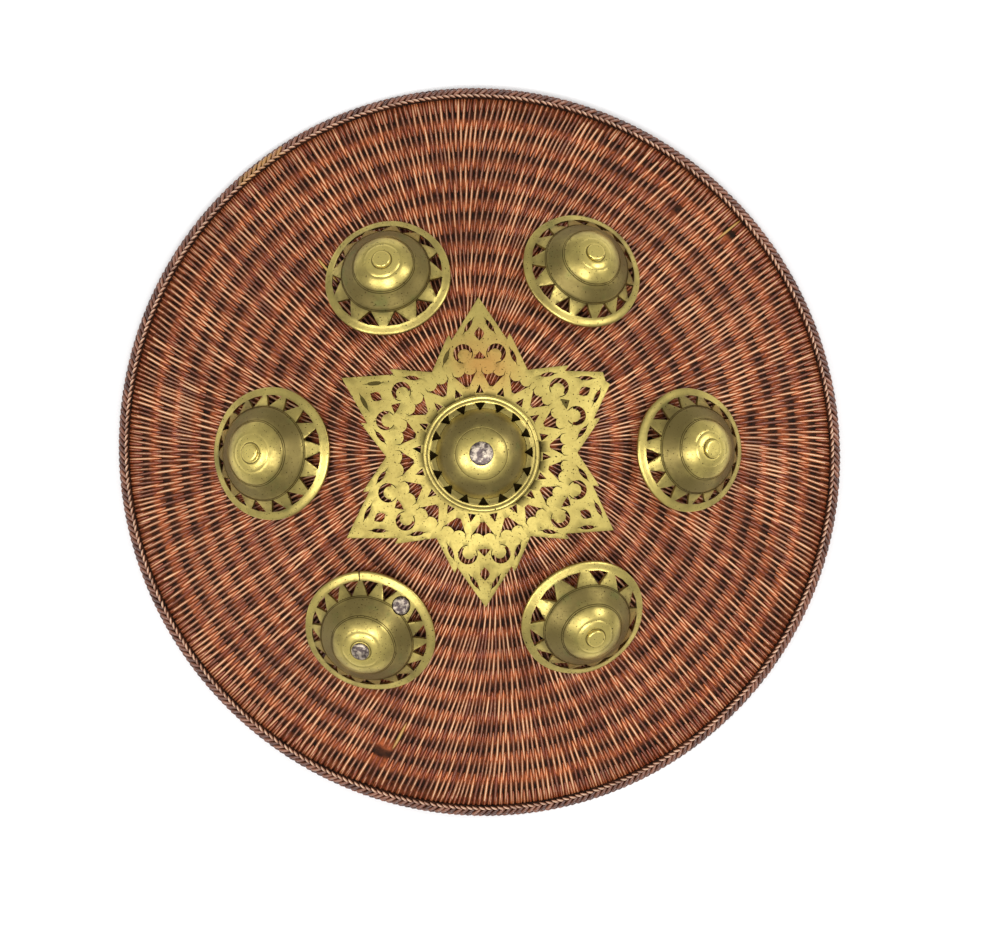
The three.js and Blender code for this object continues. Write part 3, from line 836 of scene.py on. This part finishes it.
BAND_OPENINGS = 18
BAND_START = 96.5
BAND_PITCH = 360 / BAND_OPENINGS
BAND_DRIFT = 4.5
BAND_INNER, BAND_OUTER = 35.4, 42.8
BAND_SHARE = 0.41
BAND_FOOT = 0.2
LOBE_DEPTH = 1.5
ZIGZAG_HALF, ZIGZAG_FOOT, ZIGZAG_TIP = 3.9, 31.6, 36.0


def band_turn(step):
    """Whole steps are the triangles of the band, and half steps its openings, paced by eye."""
    even = BAND_PITCH * step
    return BAND_START - even - BAND_DRIFT * math.cos(math.radians(even))


def band_half(step):
    return BAND_SHARE * (band_turn(step - 0.5) - band_turn(step + 0.5))


def band_opening(step):
    """Two lobes hang into the opening from outside, and it narrows to a blunt foot inside."""
    turn, half = band_turn(step), band_half(step)
    lobes = [
        polar(turn + share * half, BAND_OUTER - LOBE_DEPTH * abs(math.sin(share * math.pi)))
        for share in np.linspace(1, -1, 13)
    ]
    foot = BAND_FOOT * half
    return [*lobes, polar(turn - foot, BAND_INNER), polar(turn + foot, BAND_INNER)]


def zigzag_triangle(step):
    turn = band_turn(step)
    return [polar(turn - ZIGZAG_HALF, ZIGZAG_FOOT), polar(turn + ZIGZAG_HALF, ZIGZAG_FOOT),
            polar(turn, ZIGZAG_TIP)]


ENGRAVED_LINE = 0.55
SLIT_TAIL = 2
HORN_AT, HORN_SWEEP = 108, 44
CORNER_TAIL, CUSP_TAIL = 2.6, 1.1
STROKE_LAP = 0.2


def stroke(line):
    """An engraved line through some points, of one width and pointed at its far end."""
    steps = [after - before for before, after in zip(line, line[1:])]
    asides = [Vector((-step.y, step.x)).normalized() * ENGRAVED_LINE / 2 for step in steps]
    left = [point + aside for point, aside in zip(line, asides)]
    right = [point - aside for point, aside in zip(line, asides)]
    return [*right, line[-1], *left[::-1]]


def band_strokes(step):
    """The corners of an opening run on outwards as two short lines, and its cusp as a third."""
    turn, half = band_turn(step), band_half(step)
    return [stroke([polar(turn + share * half, BAND_OUTER - 2 * STROKE_LAP),
                    polar(turn + share * half, BAND_OUTER + tail)])
            for share, tail in ((-0.98, CORNER_TAIL), (0, CUSP_TAIL), (0.98, CORNER_TAIL))]


def ray_strokes(turn):
    """Tails at the ends of the slits and at the horns of the crescents."""
    lines = []
    for side in (1, -1):
        for out, across, lean, length, _ in SLITS:
            middle = on_ray(turn, out, across * side)
            half = length / 2 - STROKE_LAP
            for end in (1, -1):
                ahead = polar(turn + lean * side, end)
                lines.append(stroke([middle + ahead * half, middle + ahead * (half + SLIT_TAIL)]))
        out, across, lean, radius, _ = CRESCENT
        for horn in (1, -1):
            start = turn + lean * side + HORN_AT * horn
            middle = on_ray(turn, out, across * side)
            lines.append(stroke(arc(middle, radius - STROKE_LAP, start, start + HORN_SWEEP * horn, 5)))
    return lines


# %% The star plate
PLATE_GAP = 0.8
PLATE_THICKNESS = 1.4
BORE_RADIUS = 2.3
PLATE_REACH = 86
PLATE_TOP = PLATE_GAP + PLATE_THICKNESS


def domed_sheet(under, over):
    """A turned sheet that follows the dome, between two distances off the face."""
    radii = np.linspace(BORE_RADIUS, PLATE_REACH, 18)
    section = closed_section(off_face(radii, 0, under), off_face(radii, 0, over))
    sheet = turned(section, steps=120)
    sheet.data.transform(MAKE_OVAL)
    return sheet


def on_star(cutter):
    cutter.data.transform(Matrix.Translation((*(STAR_OFFSET * MM), 0)))
    return cutter


ENGRAVED_DEPTH = 0.5
CUTTER_RISE = 2
ABOVE_ALL = CROWN_HEIGHT + 10
PINHOLE, PINHOLE_RADIUS = (31.4, 51.2), 0.6
# The plate is painted dark where the middle boss covers it, a painted shade under the boss.
BOSS_COVERS = 30.4
# Openings that were engraved and never sawn out, by the direction of the ray and their order in it.
UNSAWN = {31.4: (1,), 91.3: (3,), 151.6: (2, 5)}


def engraving(shapes):
    """A cutter that reaches only a little way into the plate."""
    layer = domed_sheet(PLATE_TOP - ENGRAVED_DEPTH, PLATE_TOP + CUTTER_RISE)
    return cut(layer, on_star(prisms(shapes, 0, ABOVE_ALL)), how="INTERSECT")


star = cut(domed_sheet(PLATE_GAP, PLATE_TOP), on_star(prism(star_outline(), 0, ABOVE_ALL)), how="INTERSECT")
halfway = np.arange(BAND_OPENINGS) + 0.5
openings = [band_opening(step) for step in halfway]
openings += [zigzag_triangle(step) for step in range(BAND_OPENINGS)]
openings.append(arc(polar(*PINHOLE), PINHOLE_RADIUS, 0, 315, 7))
unsawn = []
for turn, _, _ in RAYS:
    for order, shape in enumerate(ray_openings(turn)):
        (unsawn if order in UNSAWN.get(turn, ()) else openings).append(shape)
cut(star, engraving(unsawn))
cut(star, engraving([line for turn, _, _ in RAYS for line in ray_strokes(turn)]))
cut(star, engraving([line for step in halfway for line in band_strokes(step)]))
cut(star, on_star(prisms(openings, 0, ABOVE_ALL)))
bevelled(star, 0.3, 50)
x, y, height = points(star).T
distance = np.hypot(*(np.array(MAKE_OVAL.inverted())[:2, :2] @ np.stack([x, y])))
raised = (height - face_height(distance)) * np.cos(face_slope(distance))
sunk = PLATE_TOP - raised
lines = (sunk > 0.8 * ENGRAVED_DEPTH) & (sunk < 1.2 * ENGRAVED_DEPTH)
under_boss_shade = np.hypot(x - STAR_OFFSET.x, y - STAR_OFFSET.y) < BOSS_COVERS
# Engraved lines are painted dark for grime and shade, and the plate under the middle boss as painted shade.
marked(star, wear=0.6, dirt=np.maximum(0.75 * lines, under_boss_shade))
print("points on the floors of engraved lines:", np.count_nonzero(lines))
hand_over(star, "star", star_brass, "star_brass", "star_plate")

# %% [markdown]
# The bosses. Each was cast and then turned: a flat ring, a row of pointed petals that rise from it,
# two fine lines, a hollow flare, a bead, and a rounded cap. All of that is one profile, spun. The
# spaces between the petals were sawn out by eye, so each boss has its own number of holes, and
# they are paced unevenly. A boss is modelled at the origin and then set on its seat.

# %% Profile of a boss
BOSS_WALL = 1.3
RING_FOOT = 0.93
RING_INNER = 0.895
PETAL_ROOT = 0.70
BOSS_PROFILE = [
    (1.0, 0.0), (1.0, 1.2), (0.992, 1.55), (0.975, 1.85), (0.955, 2.1), (0.92, 2.55),
    (RING_INNER, 2.9), (0.86, 3.8), (0.82, 5.1), (0.78, 6.35), (0.73, 7.95),
    (0.716, 8.5), (0.712, 8.35), (0.707, 8.8), (PETAL_ROOT, 9.2), (0.696, 9.05), (0.69, 9.55),
    (0.665, 10.4), (0.64, 11.2), (0.61, 12.15), (0.58, 13.1), (0.55, 14.1), (0.52, 15.15),
    (0.499, 15.95), (0.495, 15.85), (0.489, 16.35), (0.479, 16.7), (0.475, 16.6), (0.468, 17.1),
    (0.44, 17.95), (0.405, 18.85), (0.37, 19.65), (0.33, 20.4), (0.29, 21.0), (0.285, 20.97),
    (0.28, 21.15), (0.24, 21.6), (0.2, 21.95), (0.17, 22.15), (0.155, 22.0), (0.14, 22.2),
]
GROOVES = [0.712, 0.696, 0.495, 0.475, 0.155]
GROOVE_WIDTH = 0.0015
PLAIN_INSIDE = [(0.70, 9.2), (0.475, 16.8), (0.33, 20.1)]
WEAR_KNOTS = [(0.0, 0.85), (0.16, 0.75), (0.30, 0.55), (0.45, 0.45), (0.50, 0.3), (0.55, 0.2),
              (0.65, 0.15), (0.70, 0.3), (0.74, 0.45), (0.80, 0.5), (0.86, 0.4), (0.93, 0.55), (1.0, 0.5)]


def boss_casting(profile, inside, foot, radius):
    outside = [(share * radius, height) for share, height in profile]
    top = outside[-1][1]
    under = [(share * radius - BOSS_WALL, height - BOSS_WALL) for share, height in inside[::-1]]
    bore = [(BORE_RADIUS, top), (BORE_RADIUS, top - BOSS_WALL)]
    return turned([*outside, *bore, *under, (foot * radius, 0), outside[0]], steps=84)


WIDEST_PACE = 230
HOLE_SHARE = 0.40
HOLE_MARGIN = 0.5
HOLE_DEPTH = 10


def hole_turns(holes, first, drift):
    even = first + np.arange(holes) * 360 / holes
    return even + drift * np.cos(np.radians(even - WIDEST_PACE))


def petal_holes(turns, ring_inner, petal_root, share=HOLE_SHARE):
    """Triangular cutters with their base on the ring and their point up the casting."""
    half = share * (turns[1] - turns[0])
    base, tip = ring_inner - HOLE_MARGIN, petal_root + HOLE_MARGIN
    low = base - 0.3 * (base - tip)
    corners = [(-1, base), (0, base + 0.15), (1, base), (0.76, low), (0.1, tip), (-0.1, tip), (-0.76, low)]
    shapes = [[polar(turn + aside * half, out) for aside, out in corners] for turn in turns]
    return prisms(shapes, -1, HOLE_DEPTH)


def finish_boss(casting, name, node, place, radius, grooves):
    share = np.hypot(*points(casting)[:, :2].T) / radius
    # The fine grooves are painted dark, grime and painted shade together.
    marked(casting, dirt=np.any(np.abs(share[:, None] - grooves) < GROOVE_WIDTH, axis=1))
    bevelled(casting, 0.16, 55)
    x, y, height = points(casting).T
    turn = np.arctan2(y, x)
    share = np.hypot(x, y) / radius
    at, wear = np.array(WEAR_KNOTS).T
    # No casting came out quite round.
    wobble = 1 + 0.006 * np.sin(3 * turn + radius) + 0.003 * np.sin(7 * turn + 2 * radius)
    move_points(casting, np.stack([x * wobble, y * wobble, height], axis=-1))
    marked(casting, wear=np.interp(share, at, wear))
    casting.data.transform(place)
    hand_over(casting, name, boss_brass, "boss_brass", node, crease=35)


# %% Where a boss stands
BOSS_GAP = 0.5


def rise_of(place, radius):
    """How far a boss stands up from its seat, so that its ring clears the face all the way round."""
    rims = [place @ (polar(turn, radius).to_3d() * MM) / MM for turn in np.arange(0, 360, 7.5)]
    return BOSS_GAP - min(rim.z - face_at(rim) for rim in rims)


# %% The six bosses round the star
# Each boss: the direction and distance of its seat, how far its axis is from the vertical and the
# way it leans, its radius, its number of holes, the direction of the first hole, and their drift.
BOSSES = {
    "upper_left": (117.7, 102.6, 22.1, 105.6, 33.3, 12, 26.2, 4),
    "upper_right": (60.4, 108.5, 27.8, 49.9, 32.5, 15, 19.3, 5),
    "left": (180.5, 109.7, 24.5, 179.3, 35.2, 16, -8.1, 3),
    "right": (0.4, 110, 28.5, 2.8, 32.7, 16, 1.1, 5),
    "lower_left": (238.8, 110.1, 26.2, 246.7, 35.2, 18, -1.6, 0),
    "lower_right": (302, 100.6, 30.4, 303.8, 33.5, 13, 25, 5.5),
}
MENDED = "lower_left"
PLUG_RADIUS = 4.8
PLUG_HOLE = 8
PLUG_BORE = 4
PLUG_AT = 0.775
PLUG_RISE = 6.4
PLUG_SLOPE = 38
CRACK_TURN = 209
CRACK_WIDTH = 0.45


def rod(radius, low, high, steps=32):
    return turned([(0, low), (radius, low), (radius, high), (0, high)], steps)


def plug_middle(radius, turns):
    """On the slope of the petals, in place of one opening, square to the slope."""
    turn = turns[PLUG_HOLE]
    spot = Matrix.Translation((*(polar(turn, PLUG_AT * radius) * MM), PLUG_RISE * MM))
    return spot @ rotation(turn) @ rotation(PLUG_SLOPE, "Y")


def ring_crack(radius):
    start, end = radius * RING_INNER - 0.5, radius + 1
    sides = [(start, -1), (radius * 0.92, -0.5), (end, -1), (end, 1), (radius * 0.93, 0.9), (start, 0.6)]
    crack = prism([(out, CRACK_WIDTH * aside) for out, aside in sides], -1, HOLE_DEPTH)
    crack.data.transform(rotation(CRACK_TURN))
    return crack


boss_places = {}
for name, (*stance, radius, holes, first, drift) in BOSSES.items():
    casting = boss_casting(BOSS_PROFILE, PLAIN_INSIDE, RING_FOOT, radius)
    turns = hole_turns(holes, first, drift)
    sawn = np.delete(turns, PLUG_HOLE) if name == MENDED else turns
    cut(casting, petal_holes(sawn, RING_INNER * radius, PETAL_ROOT * radius))
    if name == MENDED:
        hole = rod(PLUG_RADIUS + 0.3, -PLUG_BORE, PLUG_BORE)
        hole.data.transform(plug_middle(radius, turns))
        cut(casting, hole)
        cut(casting, ring_crack(radius))
    place = seat(*stance)
    boss_places[name] = place @ Matrix.Translation((0, 0, rise_of(place, radius) * MM))
    finish_boss(casting, "cast_boss_" + name, "boss_" + name, boss_places[name], radius, GROOVES)

# %% The boss in the middle
CENTRE_RADIUS = 30.2
CENTRE_RING_INNER = 0.87
CENTRE_PETAL_ROOT = 0.78
CENTRE_HOLES = (0.89, 0.725)
CENTRE_HOLE_SHARE = 0.27
CENTRE_PACING = (16, 2, 0)
CENTRE_PROFILE = [
    (1.0, 0.0), (1.0, 1.6), (0.99, 2.1), (0.975, 2.35), (0.955, 2.4), (0.94, 2.2), (0.93, 2.15),
    (0.92, 2.45), (0.90, 2.7), (0.885, 2.7), (CENTRE_RING_INNER, 2.5), (0.84, 3.1), (0.81, 3.8),
    (CENTRE_PETAL_ROOT, 4.6), (0.775, 4.45), (0.765, 4.9), (0.74, 6.3), (0.71, 8.0), (0.68, 9.5),
    (0.65, 10.7), (0.60, 12.0), (0.54, 13.3), (0.48, 14.4), (0.45, 14.9), (0.44, 14.8), (0.43, 15.1),
    (0.38, 15.8), (0.32, 16.5), (0.26, 17.05), (0.21, 17.4),
]
CENTRE_GROOVES = [0.93, 0.775, 0.44]
CENTRE_INSIDE = [(0.78, 4.6), (0.66, 10.2), (0.46, 15)]
CENTRE_LIFT = PLATE_TOP + 0.3
crown_seat = Matrix.Translation((*(STAR_OFFSET * MM), CROWN_HEIGHT * MM))

casting = boss_casting(CENTRE_PROFILE, CENTRE_INSIDE, CENTRE_RING_INNER, CENTRE_RADIUS)
turns = hole_turns(*CENTRE_PACING)
centre_holes = [share * CENTRE_RADIUS for share in CENTRE_HOLES]
cut(casting, petal_holes(turns, *centre_holes, CENTRE_HOLE_SHARE))
lifted = crown_seat @ Matrix.Translation((0, 0, CENTRE_LIFT * MM))
finish_boss(casting, "cast_boss_centre", "centre_boss", lifted, CENTRE_RADIUS, CENTRE_GROOVES)

# %% [markdown]
# The rivets. Each was driven through its boss and the body and spread over a washer behind. Outside
# it ends in a small flush knob with a rubbed edge, and the head in the middle is larger and silvery.
# One hole of the mended boss is filled with a plug of the same white metal, beaten in and dented.

# %% Rivets, washers and the plug
GAP = 0.3
TAB_GAP = 1.5
TAB_THICKNESS = 4
TAB_NECK = 13
TAB_NECK_RADIUS = 5
ROVE_RADIUS = 7
ROVE_THICKNESS = 1.2
SHANK_RADIUS = 2
TAIL = [(0, 1.6), (1.6, 1.6), (2.6, 1.35), (3.2, 0.7), (3.4, 0)]
KNOB_HEIGHT = 1.3
KNOB_SIDE = [(1.0, 0.0), (1.0, 0.5), (0.965, 0.85), (0.91, 1.1), (0.84, 1.25)]
KNOB_RADIUS, CENTRE_KNOB_RADIUS = 4.8, 6.2
MENDED_DOMED, CENTRE_DOMED = 0.8, 0.35
GRIPPED = {"left": ("upper_left", "lower_left"), "right": ("upper_right", "lower_right")}


def depth_behind(stance, reach):
    """How far down a leaning rivet a flat piece clears the back of the body, out to its reach."""
    turn, distance, _, _ = stance
    flush = seat(turn, distance, math.degrees(face_slope(distance)), turn)
    off = flush.col[2].xyz.angle(seat(*stance).col[2].xyz)
    return BODY_THICKNESS / math.cos(off) + reach * math.tan(off)


def tab_top(stance):
    return -depth_behind(stance, TAB_NECK + TAB_NECK_RADIUS) - TAB_GAP


def rivet(base, head_radius, tail, domed):
    """A knob, a shank and a spread tail, turned as one piece."""
    knob = [*KNOB_SIDE, (0.72, KNOB_HEIGHT + 0.2 * domed), (0.45, KNOB_HEIGHT + 0.7 * domed),
            (0.0, KNOB_HEIGHT + domed)]
    head = [(share * head_radius, base + height) for share, height in knob]
    spread = [(radius, tail - depth) for radius, depth in TAIL]
    return turned([*spread, (SHANK_RADIUS, tail), (SHANK_RADIUS, base), *head], 40)


def rove(top):
    low = top - ROVE_THICKNESS
    section = [(BORE_RADIUS, low), (5.8, low), (6.7, low + 0.35), (ROVE_RADIUS, low + 0.8),
               (ROVE_RADIUS, top), (BORE_RADIUS, top), (BORE_RADIUS, low)]
    return turned(section, 40)


def fasten(name, place, base, head_radius, washer_top, finish, slot, domed, nodes):
    """Sets a rivet and its washer in one place."""
    tail = washer_top - ROVE_THICKNESS - GAP
    driven = rivet(base, head_radius, tail, domed)
    washer = rove(washer_top)
    for piece, wear in ((driven, 0.9), (washer, 0.3)):
        marked(piece, wear=wear)
        piece.data.transform(place)
    hand_over(driven, "rivet_piece_" + name, finish, slot, nodes[0])
    hand_over(washer, "washer_" + name, boss_brass, "boss_brass", nodes[1])


boss_top = BOSS_PROFILE[-1][1]
for name, (*stance, radius, _, _, _) in BOSSES.items():
    held = any(name in pair for pair in GRIPPED.values())
    behind = -depth_behind(stance, ROVE_RADIUS) - PLATE_GAP
    if held:
        behind = tab_top(stance) - TAB_THICKNESS - GAP
    mended = name == MENDED
    finish, slot = (white_metal, "white_metal") if mended else (boss_brass, "boss_brass")
    base = boss_top + rise_of(seat(*stance), radius) + GAP
    nodes = ("rivet_" + name, "rove_" + name)
    fasten(name, seat(*stance), base, KNOB_RADIUS, behind, finish, slot, MENDED_DOMED * mended, nodes)

centre_base = CENTRE_LIFT + CENTRE_PROFILE[-1][1] + GAP
behind = -BODY_THICKNESS - PLATE_GAP
nodes = ("centre_rivet", "centre_rove")
fasten("centre", crown_seat, centre_base, CENTRE_KNOB_RADIUS, behind,
       white_metal, "white_metal", CENTRE_DOMED, nodes)

# %% The plug in the mended boss
PLUG_SECTION = [(0, -2.2), (PLUG_RADIUS, -2.2), (PLUG_RADIUS, -0.5), (4.4, 0), (3.2, 0.25), (0, 0.4)]
plug = turned(PLUG_SECTION, 24)
_, _, _, _, mended_radius, holes, first, drift = BOSSES[MENDED]
middle = plug_middle(mended_radius, hole_turns(holes, first, drift))
plug.data.transform(boss_places[MENDED] @ middle)
hand_over(plug, "plug", white_metal, "white_metal", "repair_plug")

# %% [markdown]
# The grips. Each is a bowed rod of cane, with a strand wound tightly round it from end to end, and
# a flat tab at both ends for a rivet. The rod is turned straight and then bent: every point keeps
# its place across the rod, and its place along it is read as a place along the bow. The winding is
# one ring, copied along the same bow.

# %% Grips
GRIP_RADIUS = 5.5
GRIP_DROP = 15
TAB_RADIUS = 8.5
CORE_RADIUS = 4.6
WINDS = 58
WIND_RADIUS = 4.55
WIND_THICKNESS = 0.95
WIND_SPACING = 8
# How far the winding stretches along the strand, the length of the bow, where on it the winding
# starts and ends, and how much a turn of the strand slants.
WIND_STRETCH = 1.6
BOW_LENGTH = 190
WOUND_FROM, WOUND_TO = 0.02, 0.98
WIND_SLANT = 0.0006
HANG = [(0, 0), (0.14, 0.62), (0.34, 1), (0.66, 1), (0.86, 0.62), (1, 0)]


def tab(stance, other):
    """A flat tab on a rivet, with its neck towards the other end, and where its rod starts."""
    lift = (tab_top(stance) - TAB_THICKNESS / 2) * MM
    place = seat(*stance) @ Matrix.Translation((0, 0, lift))
    aim = place.inverted() @ seat(*other).translation
    turn = math.degrees(math.atan2(aim.y, aim.x))
    neck = polar(turn, TAB_NECK)
    outline = [*arc(Vector((0, 0)), TAB_RADIUS, turn + 90, turn + 270, 14),
               *arc(neck, TAB_NECK_RADIUS, turn - 90, turn + 90, 10)]
    piece = prism(outline, -TAB_THICKNESS / 2, TAB_THICKNESS / 2)
    cut(piece, rod(BORE_RADIUS, -TAB_THICKNESS, TAB_THICKNESS, 20))
    bevelled(piece, 1.1, 50, segments=3)
    piece.data.transform(place)
    start = polar(turn, TAB_NECK - 1)
    return piece, place @ (Vector((start.x, start.y, TAB_THICKNESS / 2 - GRIP_RADIUS)) * MM) / MM


def bow(start, end):
    """Where the middle of the bowed rod runs, and which way it heads, for shares of its length."""
    share, hang = np.array(HANG).T
    start, end = np.array(start), np.array(end)
    knots = start + (end - start) * share[:, None] - np.array([0, 0, GRIP_DROP]) * hang[:, None]
    fit = np.polyfit(share, knots, 4)

    def run(at):
        middle = np.stack([np.polyval(axis, at) for axis in fit.T], axis=-1)
        ahead = np.stack([np.polyval(np.polyder(axis), at) for axis in fit.T], axis=-1)
        return middle, ahead / np.linalg.norm(ahead, axis=-1, keepdims=True)

    return run


def bent(piece, run):
    """Bends a straight piece along the bow: its z, from 0 to 1, becomes the share of the way."""
    x, y, z = (points(piece) * MM).T
    middle, ahead = run(z)
    side = np.cross(ahead, [0.0, 0.0, 1.0])
    side /= np.linalg.norm(side, axis=-1, keepdims=True)
    up = np.cross(ahead, side)
    move_points(piece, middle + side * x[:, None] + up * y[:, None])


def grip(name, upper, lower):
    first, second = BOSSES[upper][:4], BOSSES[lower][:4]
    (top_tab, start), (low_tab, end) = tab(first, second), tab(second, first)
    run = bow(start, end)
    section = [(0, 0), *((CORE_RADIUS, share) for share in np.linspace(0, 1, 40)), (0, 1)]
    core = turned([(radius / MM, share / MM) for radius, share in section], 14)
    bent(core, run)
    grip_core = joined([core, top_tab, low_tab])
    marked(grip_core, tone=0.4, crest=0.5)
    hand_over(grip_core, "grip_core_" + name, plaited_cane, "plaited_cane", "grip_" + name)
    deselect()
    bpy.ops.mesh.primitive_torus_add(major_segments=14, minor_segments=6,
                                     major_radius=WIND_RADIUS, minor_radius=WIND_THICKNESS)
    ring = bpy.context.object
    ring.data.transform(Matrix.Diagonal((1, 1, WIND_STRETCH, 1)))
    which, (x, y, z) = repeated(ring, WINDS, 2, WIND_SPACING)
    middle = WOUND_FROM + (WOUND_TO - WOUND_FROM) * (which + 0.5) / WINDS
    share = middle + z / BOW_LENGTH - y * WIND_SLANT
    move_points(ring, np.stack([x, y, share], axis=-1) / MM)
    bent(ring, run)
    tone = draw.beta(1.8, 1.8, WINDS)
    # A faint painted glint along the ridges of the winding.
    marked(ring, tone=tone[which], crest=0.7, ridge=0.45)
    hand_over(ring, "grip_winding_" + name, plaited_cane, "plaited_cane", crease=180)


for name, pair in GRIPPED.items():
    grip(name, *pair)

# %% [markdown]
# The scene. A white floor, soft light from large lamps, and a camera straight above that looks
# down on the lying shield.

# %% Floor, lamps and camera
deselect()
bpy.ops.mesh.primitive_plane_add(size=6, location=(0, 0, -0.0005))
floor = bpy.context.object
floor.name = "floor"
floor.data.materials.append(Palette("white floor", Base_Color=(0.9, 0.9, 0.9, 1), Roughness=0.9).material)


def lamp(name, spot, size, power):
    bpy.ops.object.light_add(type="AREA", location=spot)
    light = bpy.context.object
    light.name = name
    light.data.shape = "DISK"
    light.data.size = size
    light.data.energy = power
    light.rotation_euler = (-Vector(spot)).to_track_quat("-Z", "Y").to_euler()


lamp("overhead lamp", (0.08, -0.55, 2.3), 1.0, 25)
lamp("left lamp", (-1.25, -0.5, 1.85), 0.7, 13)
lamp("right lamp", (1.4, 0.5, 1.4), 0.6, 11)
scene = bpy.context.scene
scene.world = bpy.data.worlds.new("studio")
scene.world.use_nodes = True
backdrop = scene.world.node_tree.nodes["Background"].inputs
backdrop["Color"].default_value = (1, 1, 1, 1)
backdrop["Strength"].default_value = 0.62
scene.view_settings.view_transform = "Standard"

CAMERA_SPOT = Vector((11.3, -6.05, 1200))
CAMERA_LENS = 78
bpy.ops.object.camera_add(location=CAMERA_SPOT * MM)
camera = bpy.context.object
camera.data.lens = CAMERA_LENS
scene.camera = camera
